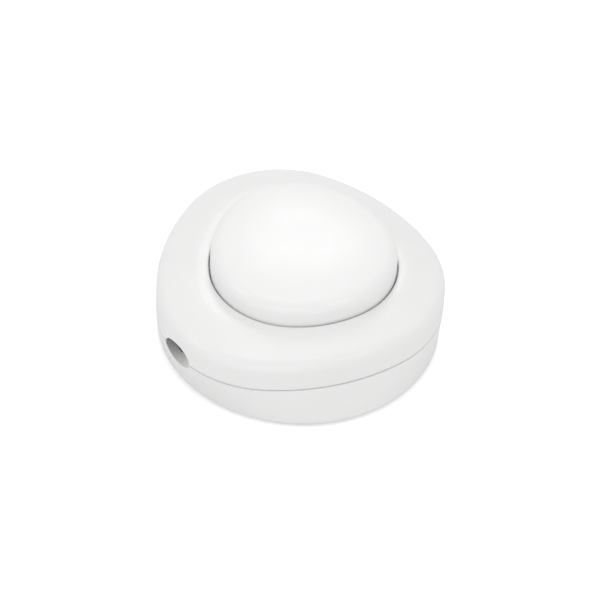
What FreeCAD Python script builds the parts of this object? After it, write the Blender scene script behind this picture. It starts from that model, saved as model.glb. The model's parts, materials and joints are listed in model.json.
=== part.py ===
"""Push on push off lamp switch for a floor cord: rounded triangular housing, domed button, ratchet inside.

Millimetres. The origin is the centre of the underside, +Z is up, +X points at one rounded corner of
the triangle, and the cord passes through along Y beside the flat side opposite that corner.
"""
import FreeCAD, Part
import math
import os

from FreeCAD import Vector

# Outlines are rounded triangles: a middle radius, and a lobe by which corners stand out and sides in
BUTTON_RADIUS = 20.4
BUTTON_LOBE = 0.56
RIM_WIDTH = 11.1
BODY_LOBE = 1.55
BODY_SHIFT = 1.2
FLOOR_DRAFT = 0.3
WALL = 2.2
FLOOR = 2.0
BOTTOM_ROUND = 0.9
CORNER_OUT = 5.6

# Heights
FOOT_PROUD = 0.5
BASE_HEIGHT = 10.0
COVER_HEIGHT = 9.4
SHOULDER_ROUND = 3.15
SHOULDER_SLOPE = 22.0
RIM_SLOPE = 6.0
CROWN_RIM = 2.1
CEILING_ROOM = 2.9
CAVITY_DROP = 2.2
COVER_TOP = 2.0
PARTING_GROOVE = 0.3
GROOVE_DEPTH = 0.9
LIP_DROP = 1.2
LIP_THICK = 1.0
LIP_CLEARANCE = 0.5
LIP_ROOT = 2.0

# Button
BUTTON_WALL = 1.6
BUTTON_GAP = 0.3
BUTTON_HEIGHT = 7.0
BUTTON_ROUND = 3.0
BUTTON_SLOPE = 11.0
BUTTON_CROWN_INSET = 15.0
TRAVEL = 3.5
FLANGE_WIDTH = 1.2
FLANGE_THICK = 1.1
FLANGE_GAP = 0.1
SHOULDER_RUNS = 4
CROWN_RUNS = 3

# Cord passage, beside the terminals
CORD_RADIUS = 3.0
CORD_ROOM = 0.8
INLET_CLEARANCE = 0.3
CLAMP_CLEARANCE = 0.1
SLEEVE_WALL = 1.7
SLEEVE_GAP = 0.3

# Ratchet: the fingers push helical ramps, a quarter turn for each press and release
STEPS = 4
HALF_STEP = 45.0
RAMP_INNER = 5.0
RAMP_OUTER = 7.8
RAMP_ANGLE = 64.0
FINGER_ANGLE = 18.0
RAMP_GAP = 0.15
FINGER_SIDE = 0.2
POST_RADIUS = 1.5
RUNNING = 0.05
HUB_RADIUS = 2.8
ROTOR_RADIUS = 8.2
ROTOR_PLATE = 1.6
BRIDGE_THICK = 0.4
STRIP_THICK = 0.4
CONTACT_ROOM = 1.9
CUP_INNER = 8.6
CUP_WALL = 1.8
CUP_FLOOR = 1.2
CAP_THICK = 1.3
CAP_ROOM = 0.3
SECTOR_STEP = 13.0
RAMP_FOOT = 0.02
HUB_PROUD = 1.0
POST_PROUD = 2.4
HOOK_WIDE = 5.0
HOOK_THICK = 1.1
HOOK_REACH = 0.9
HOOK_LOW = 8.2
HOOK_TALL = 1.6
HOOK_ROOT = 1.0

# Plunger and spring
STEM_RADIUS = 3.45
SOCKET_WALL = 1.5
SOCKET_FIT = 0.05
HUB_DISC = 1.6
PRESSED_GAP = 0.1
SPRING_RADIUS = 9.0
SPRING_WIRE = 1.2
SPRING_TURNS = 3.6
SPRING_SEAT = 1.1
WIRE_SIDES = 6
STEPS_A_TURN = 24

# Terminals
TERMINAL_ROOM = 1.7
TERMINAL_Y = 9.5
TERMINAL_LONG = 4.6
TERMINAL_WIDE = 5.0
TERMINAL_TALL = 5.6
NEUTRAL_WIDE = 11.0
NEUTRAL_POLE = 3.0
WIRE_HOLE = 1.3
WIRE_RISE = 2.4
POLE_PROUD = 0.8
SLOT_DEEP = 0.6
CRADLE_WALL = 1.0
CRADLE_TALL = 2.0
CRADLE_FIT = 0.1
STRIP_WIDE = 3.4
RING_INNER = 3.3
RING_OUTER = 5.5
RING_CONTACT = 4.4
ARM_OUTER = 7.8
ARM_CONTACT = 6.7
ARM_WIDE = 4.0
RIVET_RADIUS = 1.1
RIVET_TALL = 0.7
TONGUE = 5.0

# Fasteners
SCREW_EDGE = 5.5
SCREW_ANGLES = (0.0, 110.0, -110.0)
BOSS_RADIUS = 2.8
BOSS_EXTRA = 1.0
SCREW_RADIUS = 1.4
SCREW_SLACK = 0.2
SCREW_HEAD = 2.5
SCREW_HEAD_TALL = 1.8
COUNTERBORE = 2.8
COUNTERBORE_DEPTH = 4.0
SCREW_BITE = 4.5
RECESS_WIDE = 0.8
RECESS_DEEP = 0.9
RECESS_REACH = 0.7
EAR_GAP = 0.2
EAR_ANGLES = (55.0, -55.0)
EAR_RADIUS = 2.6
EAR_BOTTOM = 6.5
EAR_THICK = 1.5
SMALL_SCREW = 1.1
SMALL_HEAD = 2.0
SMALL_HEAD_TALL = 1.3
SMALL_BITE = 3.4
CLAMP_Y = 19.0
CLAMP_WIDE = 4.6
CLAMP_SIDE = 0.9
CLAMP_POST_RADIUS = 2.3
CLAMP_POST_TOP = 11.2
CLAMP_BAR = 1.6
FOOT_EDGE = 2.7
FOOT_ANGLES = (55.0, 180.0, -55.0)
FOOT_RADIUS = 4.0
FOOT_SINK = 1.0
FOOT_FIT = 0.05

# Radii and places that follow from the sizes above
BODY_RADIUS = BUTTON_RADIUS + RIM_WIDTH
FLOOR_RADIUS = BODY_RADIUS - FLOOR_DRAFT
CROWN_INSET = RIM_WIDTH - CROWN_RIM
CAVITY_INSET = RIM_WIDTH - FLANGE_WIDTH - CEILING_ROOM
CUP_OUTER = CUP_INNER + CUP_WALL
TERMINAL_X = -(CUP_OUTER + TERMINAL_ROOM + TERMINAL_LONG / 2.0)
CORD_X = TERMINAL_X - TERMINAL_LONG / 2.0 - CRADLE_WALL - CORD_ROOM - CORD_RADIUS
INLET_RADIUS = CORD_RADIUS + INLET_CLEARANCE
CLAMP_POST_X = CORD_X + CORD_RADIUS + CLAMP_SIDE + CLAMP_POST_RADIUS
SLEEVE_FROM = CLAMP_Y + CLAMP_WIDE / 2.0 + SLEEVE_GAP
SCREW_ORBIT = BODY_RADIUS - SCREW_EDGE
EAR_ORBIT = CUP_OUTER + EAR_GAP + EAR_RADIUS
FOOT_ORBIT = FLOOR_RADIUS - FOOT_EDGE - FOOT_RADIUS
FAR = BODY_RADIUS + BODY_LOBE + BODY_SHIFT

# Heights that follow from the sizes above
UNDERSIDE = FOOT_PROUD
FLOOR_TOP = UNDERSIDE + FLOOR
PARTING = UNDERSIDE + BASE_HEIGHT
OPENING_Z = PARTING + COVER_HEIGHT
CEILING_Z = OPENING_Z - COVER_TOP
FLANGE_TOP = CEILING_Z - FLANGE_GAP
SKIRT_Z = FLANGE_TOP - FLANGE_THICK
BUTTON_TOP = OPENING_Z + BUTTON_HEIGHT
CUP_FLOOR_TOP = FLOOR_TOP + CUP_FLOOR
BRIDGE_Z = CUP_FLOOR_TOP + STRIP_THICK + CONTACT_ROOM
ROTOR_Z = BRIDGE_Z + BRIDGE_THICK
RAMP_Z = ROTOR_Z + ROTOR_PLATE
LEAD = TRAVEL * 360.0 / HALF_STEP
RAMP_TOP = RAMP_Z + LEAD * RAMP_ANGLE / 360.0
CAP_Z = RAMP_TOP + CAP_ROOM
CAP_TOP = CAP_Z + CAP_THICK
HUB_Z = CAP_TOP + TRAVEL + PRESSED_GAP
SOCKET_Z = HUB_Z + HUB_DISC
BUTTON_CEILING = BUTTON_TOP - BUTTON_WALL
TERMINAL_Z = CUP_FLOOR_TOP + STRIP_THICK
TERMINAL_TOP = TERMINAL_Z + TERMINAL_TALL
WIRE_Z = TERMINAL_Z + WIRE_RISE
TONGUE_TOP = BRIDGE_Z - RUNNING - RIVET_TALL
CLIP_Z = RAMP_Z + HUB_PROUD + RUNNING


def disc(radius, z, height, x=0.0, y=0.0):
    """Upright cylinder."""
    return Part.makeCylinder(radius, height, Vector(x, y, z))


def tube(outer, inner, z, height, x=0.0, y=0.0):
    """Upright tube."""
    return disc(outer, z, height, x, y).cut(disc(inner, z, height, x, y))


def block(x_low, x_high, y_low, y_high, z_low, z_high):
    """Box between two corners."""
    return Part.makeBox(x_high - x_low, y_high - y_low, z_high - z_low, Vector(x_low, y_low, z_low))


def polar(radius, degrees):
    """X and Y of a point at a radius and an angle."""
    angle = math.radians(degrees)
    return radius * math.cos(angle), radius * math.sin(angle)


def turned(shape, degrees):
    """Copy turned about the Z axis."""
    copy = shape.copy()
    copy.rotate(Vector(0, 0, 0), Vector(0, 0, 1), degrees)
    return copy


def fuse_all(shapes):
    """One solid out of several."""
    return shapes[0].multiFuse(shapes[1:]).removeSplitter()


def lobed_arcs(radius, lobe, shift):
    """The six arcs of a rounded triangle, each as centre, radius, start angle and sweep."""
    corner_out = CORNER_OUT * lobe
    side_out = 4.0 * (CORNER_OUT - 1.0) / (CORNER_OUT - 4.0) * lobe
    third = math.radians(60.0)
    meet = math.degrees(math.atan2(side_out * math.sin(third), corner_out + side_out * math.cos(third)))
    arcs = []
    for angle in (0.0, 120.0, 240.0):
        x, y = polar(corner_out, angle)
        arcs.append((Vector(x + shift, y, 0), radius + lobe - corner_out, angle - meet, 2.0 * meet))
        x, y = polar(side_out, angle + 240.0)
        arcs.append((Vector(x + shift, y, 0), radius - lobe + side_out, angle + meet, 120.0 - 2.0 * meet))
    return arcs


BODY_ARCS = lobed_arcs(BODY_RADIUS, BODY_LOBE, -BODY_SHIFT)
BUTTON_ARCS = lobed_arcs(BUTTON_RADIUS, BUTTON_LOBE, 0.0)
FLOOR_ARCS = [(Vector(0, 0, 0), FLOOR_RADIUS, start, sweep) for centre, radius, start, sweep in BODY_ARCS]


def on_arc(centre, radius, angle, inset, z):
    """Point at an angle of an arc, moved inward by inset."""
    x, y = polar(radius - inset, angle)
    return Vector(centre.x + x, centre.y + y, z)


def outline(arcs, z, inset=0.0):
    """Closed outline at a height, moved inward by inset."""
    edges = []
    for centre, radius, start, sweep in arcs:
        points = [on_arc(centre, radius, start + share * sweep, inset, z) for share in (0.0, 0.5, 1.0)]
        edges.append(Part.Arc(*points).toShape())
    return Part.Wire(edges)


def body_outline(z, inset=0.0):
    """Housing outline as it is from the parting line upward."""
    return outline(BODY_ARCS, z, inset)


def floor_outline(z, inset=0.0):
    """Round outline of the underside, in arcs that match the housing's."""
    return outline(FLOOR_ARCS, z, inset)


def button_outline(z, inset=0.0):
    """Outline of the button's side wall."""
    return outline(BUTTON_ARCS, z, inset)


def carried(arcs, section):
    """Solid made by carrying a section round an outline.

    The section is a row of points in inset and height. It starts at its lowest inner point and ends
    straight above it, and everything inside that inset is filled.
    """
    inner, low = section[0]
    high = section[-1][1]
    solids = [prism(outline(arcs, low, inner), high - low)]
    for centre, radius, start, sweep in arcs:
        places = [on_arc(centre, radius, start, inset, z) for inset, z in section]
        face = Part.Face(Part.makePolygon(places + places[:1]))
        solids.append(face.revolve(centre, Vector(0, 0, 1), sweep))
    return fuse_all(solids)


def arc_runs(centre, radius, first, last, runs):
    """Points that divide an arc of a section into straight runs, from one slope to another."""
    points = []
    for run in range(runs + 1):
        slope = first + (last - first) * run / runs
        points.append((centre[0] - radius * math.sin(slope), centre[1] + radius * math.cos(slope)))
    return points


def rounded_top(wall_low, inset, rounding, outer_slope, inner_slope, crown_inset, top):
    """Section with an upright wall, a rounded shoulder and a crown that eases from one slope to another."""
    turn = math.radians(outer_slope)
    ease = math.radians(inner_slope)
    shoulder_end = inset + rounding * (1.0 - math.sin(turn))
    crown = (crown_inset - shoulder_end) / (math.sin(turn) - math.sin(ease))
    shoulder_top = top - crown * (math.cos(ease) - math.cos(turn))
    shoulder_centre = (inset + rounding, shoulder_top - rounding * math.cos(turn))
    crown_centre = (shoulder_end + crown * math.sin(turn), shoulder_top - crown * math.cos(turn))
    points = [(crown_inset, wall_low), (inset, wall_low)]
    points += arc_runs(shoulder_centre, rounding, math.pi / 2.0, turn, SHOULDER_RUNS)
    points += arc_runs(crown_centre, crown, turn, ease, CROWN_RUNS)[1:]
    return points


def turned_solid(x, y, section):
    """Solid of revolution about an upright axis, from its outline as radius and height."""
    points = [Vector(radius, 0, z) for radius, z in section]
    solid = Part.Face(Part.makePolygon(points + points[:1])).revolve(Vector(0, 0, 0), Vector(0, 0, 1), 360.0)
    solid.translate(Vector(x, y, 0))
    return solid


def prism(outline, height):
    """Outline pulled straight up."""
    return Part.Face(outline).extrude(Vector(0, 0, height))


def ring(outer, inner, height):
    """Wall between two outlines at one height."""
    return prism(outer, height).cut(prism(inner, height))


def tapered(lower, upper):
    """Straight-sided solid between two outlines."""
    return Part.makeLoft([lower, upper], True, True)


def cord_bore(radius, y_low, y_high):
    """Round passage along the cord's line."""
    return Part.makeCylinder(radius, y_high - y_low, Vector(CORD_X, y_low, PARTING), Vector(0, 1, 0))


def base_outer():
    """Solid outer form of the lower shell: round below, a rounded triangle at the parting line."""
    inner = FLOOR_RADIUS - BOTTOM_ROUND
    low = UNDERSIDE + BOTTOM_ROUND
    round_x, round_z = polar(BOTTOM_ROUND, -45.0)
    foot = turned_solid(0.0, 0.0, [(0.0, UNDERSIDE), (inner, UNDERSIDE), (inner + round_x, low + round_z),
                                   (FLOOR_RADIUS, low), (0.0, low)])
    return foot.fuse(tapered(floor_outline(low), body_outline(PARTING)))


def cover_outer():
    """Solid outer form of the upper shell, with its rounded shoulder."""
    section = rounded_top(PARTING, 0.0, SHOULDER_ROUND, SHOULDER_SLOPE, RIM_SLOPE, CROWN_INSET, OPENING_Z)
    return carried(BODY_ARCS, section)


def cover_cavity():
    """Space under the cover, down to the parting line."""
    edge = CEILING_Z - CAVITY_DROP
    return carried(BODY_ARCS, [(CAVITY_INSET, PARTING), (WALL, PARTING), (WALL, edge),
                               (CAVITY_INSET, CEILING_Z)])


def sleeve_block(side, z_low, z_high):
    """Block that carries the cord bore through the wall, on one side of the housing."""
    half = INLET_RADIUS + SLEEVE_WALL
    y_low, y_high = sorted((side * SLEEVE_FROM, side * FAR))
    return block(CORD_X - half, CORD_X + half, y_low, y_high, z_low, z_high)


def screw(radius, head, head_tall, length, x, y, z, up):
    """Cross-head screw: z is the seat under its head, and up is +1 when the head faces up."""
    direction = Vector(0, 0, up)
    seat = Vector(x, y, z)
    body = Part.makeCylinder(head, head_tall, seat, direction)
    body = body.fuse(Part.makeCylinder(radius, length, seat, Vector(0, 0, -up)))
    top = z + up * head_tall
    z_low, z_high = sorted((top, top - up * RECESS_DEEP * head_tall / SCREW_HEAD_TALL))
    arm = RECESS_REACH * head
    half = RECESS_WIDE / 2.0
    body = body.cut(block(x - arm, x + arm, y - half, y + half, z_low, z_high))
    return body.cut(block(x - half, x + half, y - arm, y + arm, z_low, z_high))


def terminal_sites():
    """Each clamp screw's place as X and Y."""
    return [(TERMINAL_X, -TERMINAL_Y), (TERMINAL_X, TERMINAL_Y),
            (TERMINAL_X, -NEUTRAL_POLE), (TERMINAL_X, NEUTRAL_POLE)]


def cradle(y_centre, width, pad_top):
    """Raised pad with a low wall that locates one terminal on the floor of the base."""
    half_x = TERMINAL_LONG / 2.0 + CRADLE_FIT
    half_y = width / 2.0 + CRADLE_FIT
    x = TERMINAL_X
    w = CRADLE_WALL
    outer = block(x - half_x - w, x + half_x, y_centre - half_y - w, y_centre + half_y + w,
                  FLOOR_TOP, TERMINAL_Z + CRADLE_TALL)
    inner = block(x - half_x, x + half_x, y_centre - half_y, y_centre + half_y,
                  pad_top, TERMINAL_Z + CRADLE_TALL)
    mouth = block(x - half_x - w, x - half_x, y_centre - half_y, y_centre + half_y,
                  WIRE_Z - WIRE_HOLE, TERMINAL_Z + CRADLE_TALL)
    return outer.cut(inner).cut(mouth)


def make_base():
    """Lower shell with its floor, bosses, cradles, cord sleeves and foot recesses."""
    cavity = tapered(floor_outline(FLOOR_TOP, WALL), body_outline(PARTING, WALL))
    shell = base_outer().cut(cavity)
    solids = [shell]
    for side in (-1, 1):
        solids.append(sleeve_block(side, FLOOR_TOP, PARTING).common(cavity))
        post_tall = CLAMP_POST_TOP - FLOOR_TOP
        solids.append(disc(CLAMP_POST_RADIUS, FLOOR_TOP, post_tall, CLAMP_POST_X, side * CLAMP_Y))
        solids.append(cradle(side * TERMINAL_Y, TERMINAL_WIDE, CUP_FLOOR_TOP))
    solids.append(cradle(0.0, NEUTRAL_WIDE, TERMINAL_Z))
    for angle in SCREW_ANGLES:
        x, y = polar(SCREW_ORBIT, angle)
        solids.append(disc(BOSS_RADIUS + BOSS_EXTRA, FLOOR_TOP, PARTING - FLOOR_TOP, x, y))
    for angle in EAR_ANGLES:
        x, y = polar(EAR_ORBIT, angle)
        solids.append(disc(EAR_RADIUS, FLOOR_TOP, EAR_BOTTOM - FLOOR_TOP, x, y))
    base = fuse_all(solids)
    base = base.cut(cord_bore(INLET_RADIUS, -FAR, FAR))
    for angle in SCREW_ANGLES:
        x, y = polar(SCREW_ORBIT, angle)
        base = base.cut(disc(SCREW_RADIUS + SCREW_SLACK, UNDERSIDE, BASE_HEIGHT, x, y))
        base = base.cut(disc(COUNTERBORE, UNDERSIDE, COUNTERBORE_DEPTH, x, y))
    for angle in EAR_ANGLES:
        x, y = polar(EAR_ORBIT, angle)
        base = base.cut(disc(SMALL_SCREW, EAR_BOTTOM - SMALL_BITE, SMALL_BITE, x, y))
    for side in (-1, 1):
        pilot_z = CLAMP_POST_TOP - SMALL_BITE
        base = base.cut(disc(SMALL_SCREW, pilot_z, SMALL_BITE, CLAMP_POST_X, side * CLAMP_Y))
    for side, reach in ((-1, RING_CONTACT), (1, ARM_CONTACT)):
        base = base.cut(strip_slot(side, reach))
    for angle in FOOT_ANGLES:
        x, y = polar(FOOT_ORBIT, angle)
        base = base.cut(disc(FOOT_RADIUS + FOOT_FIT, UNDERSIDE, FOOT_SINK, x, y))
    groove = ring(body_outline(PARTING - PARTING_GROOVE, -WALL),
                  body_outline(PARTING - PARTING_GROOVE, GROOVE_DEPTH), PARTING_GROOVE)
    return base.cut(groove)


def make_cover():
    """Upper shell with the button opening, screw bosses, locating lip and cord sleeves."""
    cavity = cover_cavity()
    shell = cover_outer().cut(cavity)
    solids = [shell]
    for side in (-1, 1):
        solids.append(sleeve_block(side, PARTING, PARTING + INLET_RADIUS + SLEEVE_WALL).common(cavity))
    for angle in SCREW_ANGLES:
        x, y = polar(SCREW_ORBIT, angle)
        solids.append(disc(BOSS_RADIUS, PARTING, COVER_HEIGHT, x, y).common(cavity))
    cover = fuse_all(solids)
    lip_outer = WALL + LIP_CLEARANCE
    lip_inner = lip_outer + LIP_THICK
    root = ring(body_outline(PARTING, WALL), body_outline(PARTING, lip_inner), LIP_ROOT)
    lip_z = PARTING - LIP_DROP
    lip = ring(body_outline(lip_z, lip_outer), body_outline(lip_z, lip_inner), LIP_DROP)
    lip = lip.fuse(root)
    half = INLET_RADIUS + SLEEVE_WALL + BUTTON_GAP
    for side in (-1, 1):
        y_low, y_high = sorted((side * (CLAMP_Y - CLAMP_WIDE), side * FAR))
        lip = lip.cut(block(-FAR, CORD_X + half, y_low, y_high, PARTING - LIP_DROP, PARTING + LIP_ROOT))
    for angle in SCREW_ANGLES:
        x, y = polar(SCREW_ORBIT, angle)
        lip = lip.cut(disc(BOSS_RADIUS + BOSS_EXTRA + LIP_CLEARANCE, PARTING - LIP_DROP, LIP_DROP, x, y))
    cover = cover.fuse(lip).removeSplitter()
    cover = cover.cut(cord_bore(INLET_RADIUS, -FAR, FAR))
    for angle in SCREW_ANGLES:
        x, y = polar(SCREW_ORBIT, angle)
        cover = cover.cut(disc(SCREW_RADIUS, PARTING, SCREW_BITE, x, y))
    return cover.cut(prism(button_outline(PARTING, -BUTTON_GAP), COVER_HEIGHT))


def make_button():
    """Domed button with its side wall, retaining flange, spring seat and plunger socket."""
    outside = carried(BUTTON_ARCS, rounded_top(SKIRT_Z, 0.0, BUTTON_ROUND, BUTTON_SLOPE, 0.0,
                                               BUTTON_CROWN_INSET, BUTTON_TOP))
    rise = (BUTTON_CROWN_INSET - BUTTON_ROUND) * math.tan(math.radians(BUTTON_SLOPE / 2.0))
    shoulder = BUTTON_CEILING - rise
    hollow = carried(BUTTON_ARCS, [(BUTTON_CROWN_INSET, SKIRT_Z), (BUTTON_WALL, SKIRT_Z),
                                   (BUTTON_WALL, shoulder - BUTTON_WALL), (BUTTON_ROUND, shoulder),
                                   (BUTTON_CROWN_INSET, BUTTON_CEILING)])
    shell = outside.cut(hollow)
    flange = ring(button_outline(SKIRT_Z, -FLANGE_WIDTH), button_outline(SKIRT_Z, BUTTON_WALL), FLANGE_THICK)
    seat_z = BUTTON_CEILING - SPRING_SEAT
    seat = tube(SPRING_RADIUS + SPRING_WIRE, SPRING_RADIUS - SPRING_WIRE, seat_z, BUTTON_TOP - seat_z)
    pilot = SPRING_RADIUS - SPRING_WIRE
    guide = tube(pilot, pilot - SPRING_WIRE, seat_z - SPRING_WIRE, BUTTON_TOP - seat_z + SPRING_WIRE)
    bore = STEM_RADIUS + SOCKET_FIT
    socket = tube(bore + SOCKET_WALL, bore, SOCKET_Z, BUTTON_TOP - SOCKET_Z)
    return fuse_all([shell, flange, fuse_all([seat, guide, socket]).common(hollow)])


def sector(inner, outer, start, sweep, low, high_start, high_end):
    """Arc-shaped block whose top climbs as a helix from high_start to high_end."""
    sections = []
    steps = math.ceil(sweep / SECTOR_STEP)
    for step in range(steps + 1):
        share = step / steps
        angle = start + sweep * share
        high = high_start + (high_end - high_start) * share
        corners = []
        for radius, z in ((inner, low), (outer, low), (outer, high), (inner, high)):
            x, y = polar(radius, angle)
            corners.append(Vector(x, y, z))
        sections.append(Part.makePolygon(corners + corners[:1]))
    return Part.makeLoft(sections, True, True)


def make_rotor():
    """Ratchet rotor: plate, hub and four helical ramps."""
    plate = disc(ROTOR_RADIUS, ROTOR_Z, ROTOR_PLATE)
    hub_z = BRIDGE_Z - CONTACT_ROOM / 2.0
    hub = disc(HUB_RADIUS, hub_z, RAMP_Z + HUB_PROUD - hub_z)
    shapes = [plate, hub]
    sink = ROTOR_PLATE / 2.0
    for step in range(STEPS):
        ramp = sector(RAMP_INNER, RAMP_OUTER, 0.0, RAMP_ANGLE, RAMP_Z - sink, RAMP_Z + RAMP_FOOT, RAMP_TOP)
        shapes.append(turned(ramp, step * 360.0 / STEPS))
    rotor = fuse_all(shapes)
    return rotor.cut(disc(POST_RADIUS + RUNNING, hub_z, RAMP_TOP - hub_z))


def make_plunger():
    """Plunger: stem in the button's socket, disc, and four fingers with helical tips."""
    stem = disc(STEM_RADIUS, SOCKET_Z, BUTTON_CEILING - SPRING_WIRE - SOCKET_Z)
    hub = disc(RAMP_OUTER - FINGER_SIDE, HUB_Z, HUB_DISC)
    shapes = [stem, hub]
    tip_start = RAMP_Z + LEAD * (RAMP_ANGLE - FINGER_ANGLE) / 360.0 + RAMP_GAP
    tip_end = RAMP_TOP + RAMP_GAP
    for step in range(STEPS):
        finger = sector(RAMP_INNER + FINGER_SIDE, RAMP_OUTER - FINGER_SIDE, RAMP_ANGLE - FINGER_ANGLE,
                        FINGER_ANGLE, HUB_Z + HUB_DISC / 2.0, tip_start, tip_end)
        shapes.append(turned(finger, step * 360.0 / STEPS))
    return fuse_all(shapes)


def make_spring():
    """Compression spring between the guide cap and the button: a six-sided wire lofted round its helix."""
    radius = SPRING_WIRE / 2.0
    low = CAP_TOP + radius
    rise = BUTTON_CEILING - SPRING_SEAT - radius - low
    steps = round(SPRING_TURNS * STEPS_A_TURN)
    sections = []
    for step in range(steps + 1):
        corners = []
        for side in range(WIRE_SIDES):
            out, up = polar(radius, (side + 0.5) * 360.0 / WIRE_SIDES)
            x, y = polar(SPRING_RADIUS + out, step * 360.0 / STEPS_A_TURN)
            corners.append(Vector(x, y, low + rise * step / steps + up))
        sections.append(Part.makePolygon(corners + corners[:1]))
    return Part.makeLoft(sections, True, True)


def strip_line(side, reach):
    """Start, length and angle of one contact strip, from its terminal to its contact point."""
    contact_x, contact_y = polar(reach, 180.0 - side * HALF_STEP)
    dx = contact_x - TERMINAL_X
    dy = contact_y - side * TERMINAL_Y
    return math.hypot(dx, dy), math.degrees(math.atan2(dy, dx))


def placed_strip(shape, side, angle):
    """Strip drawn along X, turned and moved to its terminal."""
    copy = shape.copy()
    copy.rotate(Vector(0, 0, 0), Vector(0, 0, 1), angle)
    copy.translate(Vector(TERMINAL_X, side * TERMINAL_Y, 0))
    return copy


def make_strip(side, reach):
    """Springy contact strip: flat under the terminal, with a tongue that rises to the rotor."""
    length, angle = strip_line(side, reach)
    low = CUP_FLOOR_TOP
    tip = length + RIVET_RADIUS
    profile = [(0.0, low), (length - TONGUE, low), (length - RIVET_RADIUS, TONGUE_TOP - STRIP_THICK),
               (tip, TONGUE_TOP - STRIP_THICK), (tip, TONGUE_TOP), (length - RIVET_RADIUS, TONGUE_TOP),
               (length - TONGUE, low + STRIP_THICK), (0.0, low + STRIP_THICK)]
    half = STRIP_WIDE / 2.0
    corners = [Vector(s, -half, z) for s, z in profile]
    strip = Part.Face(Part.makePolygon(corners + corners[:1])).extrude(Vector(0, STRIP_WIDE, 0))
    strip = placed_strip(strip, side, angle)
    half_x = TERMINAL_LONG / 2.0
    half_y = TERMINAL_WIDE / 2.0
    y = side * TERMINAL_Y
    tab = block(TERMINAL_X - half_x, TERMINAL_X + half_x, y - half_y, y + half_y, low, low + STRIP_THICK)
    return strip.fuse(tab).removeSplitter()


def strip_slot(side, reach):
    """Room for a strip from its terminal to the inside of the cup."""
    length, angle = strip_line(side, reach)
    half = STRIP_WIDE / 2.0 + FINGER_SIDE
    slot = block(0.0, length, -half, half, CUP_FLOOR_TOP, BRIDGE_Z)
    return placed_strip(slot, side, angle)


def make_rivets():
    """Domed contact rivets on the two tongues."""
    rivets = []
    for side, reach in ((-1, RING_CONTACT), (1, ARM_CONTACT)):
        x, y = polar(reach, 180.0 - side * HALF_STEP)
        top = TONGUE_TOP + RIVET_TALL
        edge = RIVET_TALL / 2.0
        section = [(0.0, TONGUE_TOP), (RIVET_RADIUS, TONGUE_TOP), (RIVET_RADIUS, top - edge),
                   (RIVET_RADIUS - edge, top), (0.0, top)]
        rivets.append(turned_solid(x, y, section))
    return Part.makeCompound(rivets)


def make_bridge():
    """Brass plate under the rotor: a ring with two opposite arms."""
    plate = tube(RING_OUTER, RING_INNER, BRIDGE_Z, BRIDGE_THICK)
    half = ARM_WIDE / 2.0
    arms = block(-ARM_OUTER, ARM_OUTER, -half, half, BRIDGE_Z, BRIDGE_Z + BRIDGE_THICK)
    arms = arms.common(disc(ARM_OUTER, BRIDGE_Z, BRIDGE_THICK)).cut(disc(RING_INNER, BRIDGE_Z, BRIDGE_THICK))
    return plate.fuse(turned(arms, 180.0 - HALF_STEP)).removeSplitter()


def make_frame():
    """Switch frame: cup with centre post, ears, strip slots and windows for the cap's hooks."""
    cup = tube(CUP_OUTER, CUP_INNER, CUP_FLOOR_TOP, CAP_Z - CUP_FLOOR_TOP)
    shapes = [cup, disc(CUP_OUTER, FLOOR_TOP, CUP_FLOOR)]
    shoulder = BRIDGE_Z - CONTACT_ROOM / 2.0 - RUNNING
    shapes.append(disc(HUB_RADIUS - FINGER_SIDE, FLOOR_TOP, shoulder - FLOOR_TOP))
    shapes.append(disc(POST_RADIUS, FLOOR_TOP, RAMP_Z + POST_PROUD - FLOOR_TOP))
    for angle in EAR_ANGLES:
        x, y = polar(EAR_ORBIT, angle)
        ear = disc(EAR_RADIUS, EAR_BOTTOM, EAR_THICK, x, y)
        arm = block(CUP_INNER, EAR_ORBIT, -EAR_RADIUS, EAR_RADIUS, EAR_BOTTOM, EAR_BOTTOM + EAR_THICK)
        shapes.append(ear)
        shapes.append(turned(arm, angle).cut(disc(CUP_INNER, EAR_BOTTOM, EAR_THICK)))
    frame = fuse_all(shapes)
    for angle in EAR_ANGLES:
        x, y = polar(EAR_ORBIT, angle)
        frame = frame.cut(disc(SMALL_SCREW + SCREW_SLACK, EAR_BOTTOM, EAR_THICK, x, y))
    for side, reach in ((-1, RING_CONTACT), (1, ARM_CONTACT)):
        frame = frame.cut(strip_slot(side, reach))
    for side in (-1, 1):
        frame = frame.cut(hook_block(side, FINGER_SIDE))
    return frame


def hook_block(side, room):
    """Inward hook of one snap arm, or its window when room is given."""
    half = HOOK_WIDE / 2.0 + room
    y_low, y_high = sorted((side * (CUP_OUTER - HOOK_REACH - room), side * (CUP_OUTER + HOOK_THICK)))
    return block(-half, half, y_low, y_high, HOOK_LOW - room, HOOK_LOW + HOOK_TALL + room)


def make_cap():
    """Guide cap with four finger slots and two snap arms."""
    cap = disc(CUP_OUTER, CAP_Z, CAP_THICK)
    shapes = [cap]
    half = HOOK_WIDE / 2.0
    for side in (-1, 1):
        y_low, y_high = sorted((side * (CUP_OUTER + RUNNING), side * (CUP_OUTER + HOOK_THICK)))
        shapes.append(block(-half, half, y_low, y_high, HOOK_LOW, CAP_TOP))
        y_low, y_high = sorted((side * (CUP_OUTER - HOOK_ROOT), side * (CUP_OUTER + HOOK_THICK)))
        shapes.append(block(-half, half, y_low, y_high, CAP_Z, CAP_TOP))
        shapes.append(hook_block(side, 0.0))
    cap = fuse_all(shapes)
    side_angle = math.degrees(2.0 * FINGER_SIDE / RAMP_INNER)
    for step in range(STEPS):
        slot = sector(RAMP_INNER, RAMP_OUTER, RAMP_ANGLE - FINGER_ANGLE - side_angle,
                      FINGER_ANGLE + 2.0 * side_angle, CAP_Z, CAP_TOP, CAP_TOP)
        cap = cap.cut(turned(slot, step * 360.0 / STEPS))
    return cap


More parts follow.
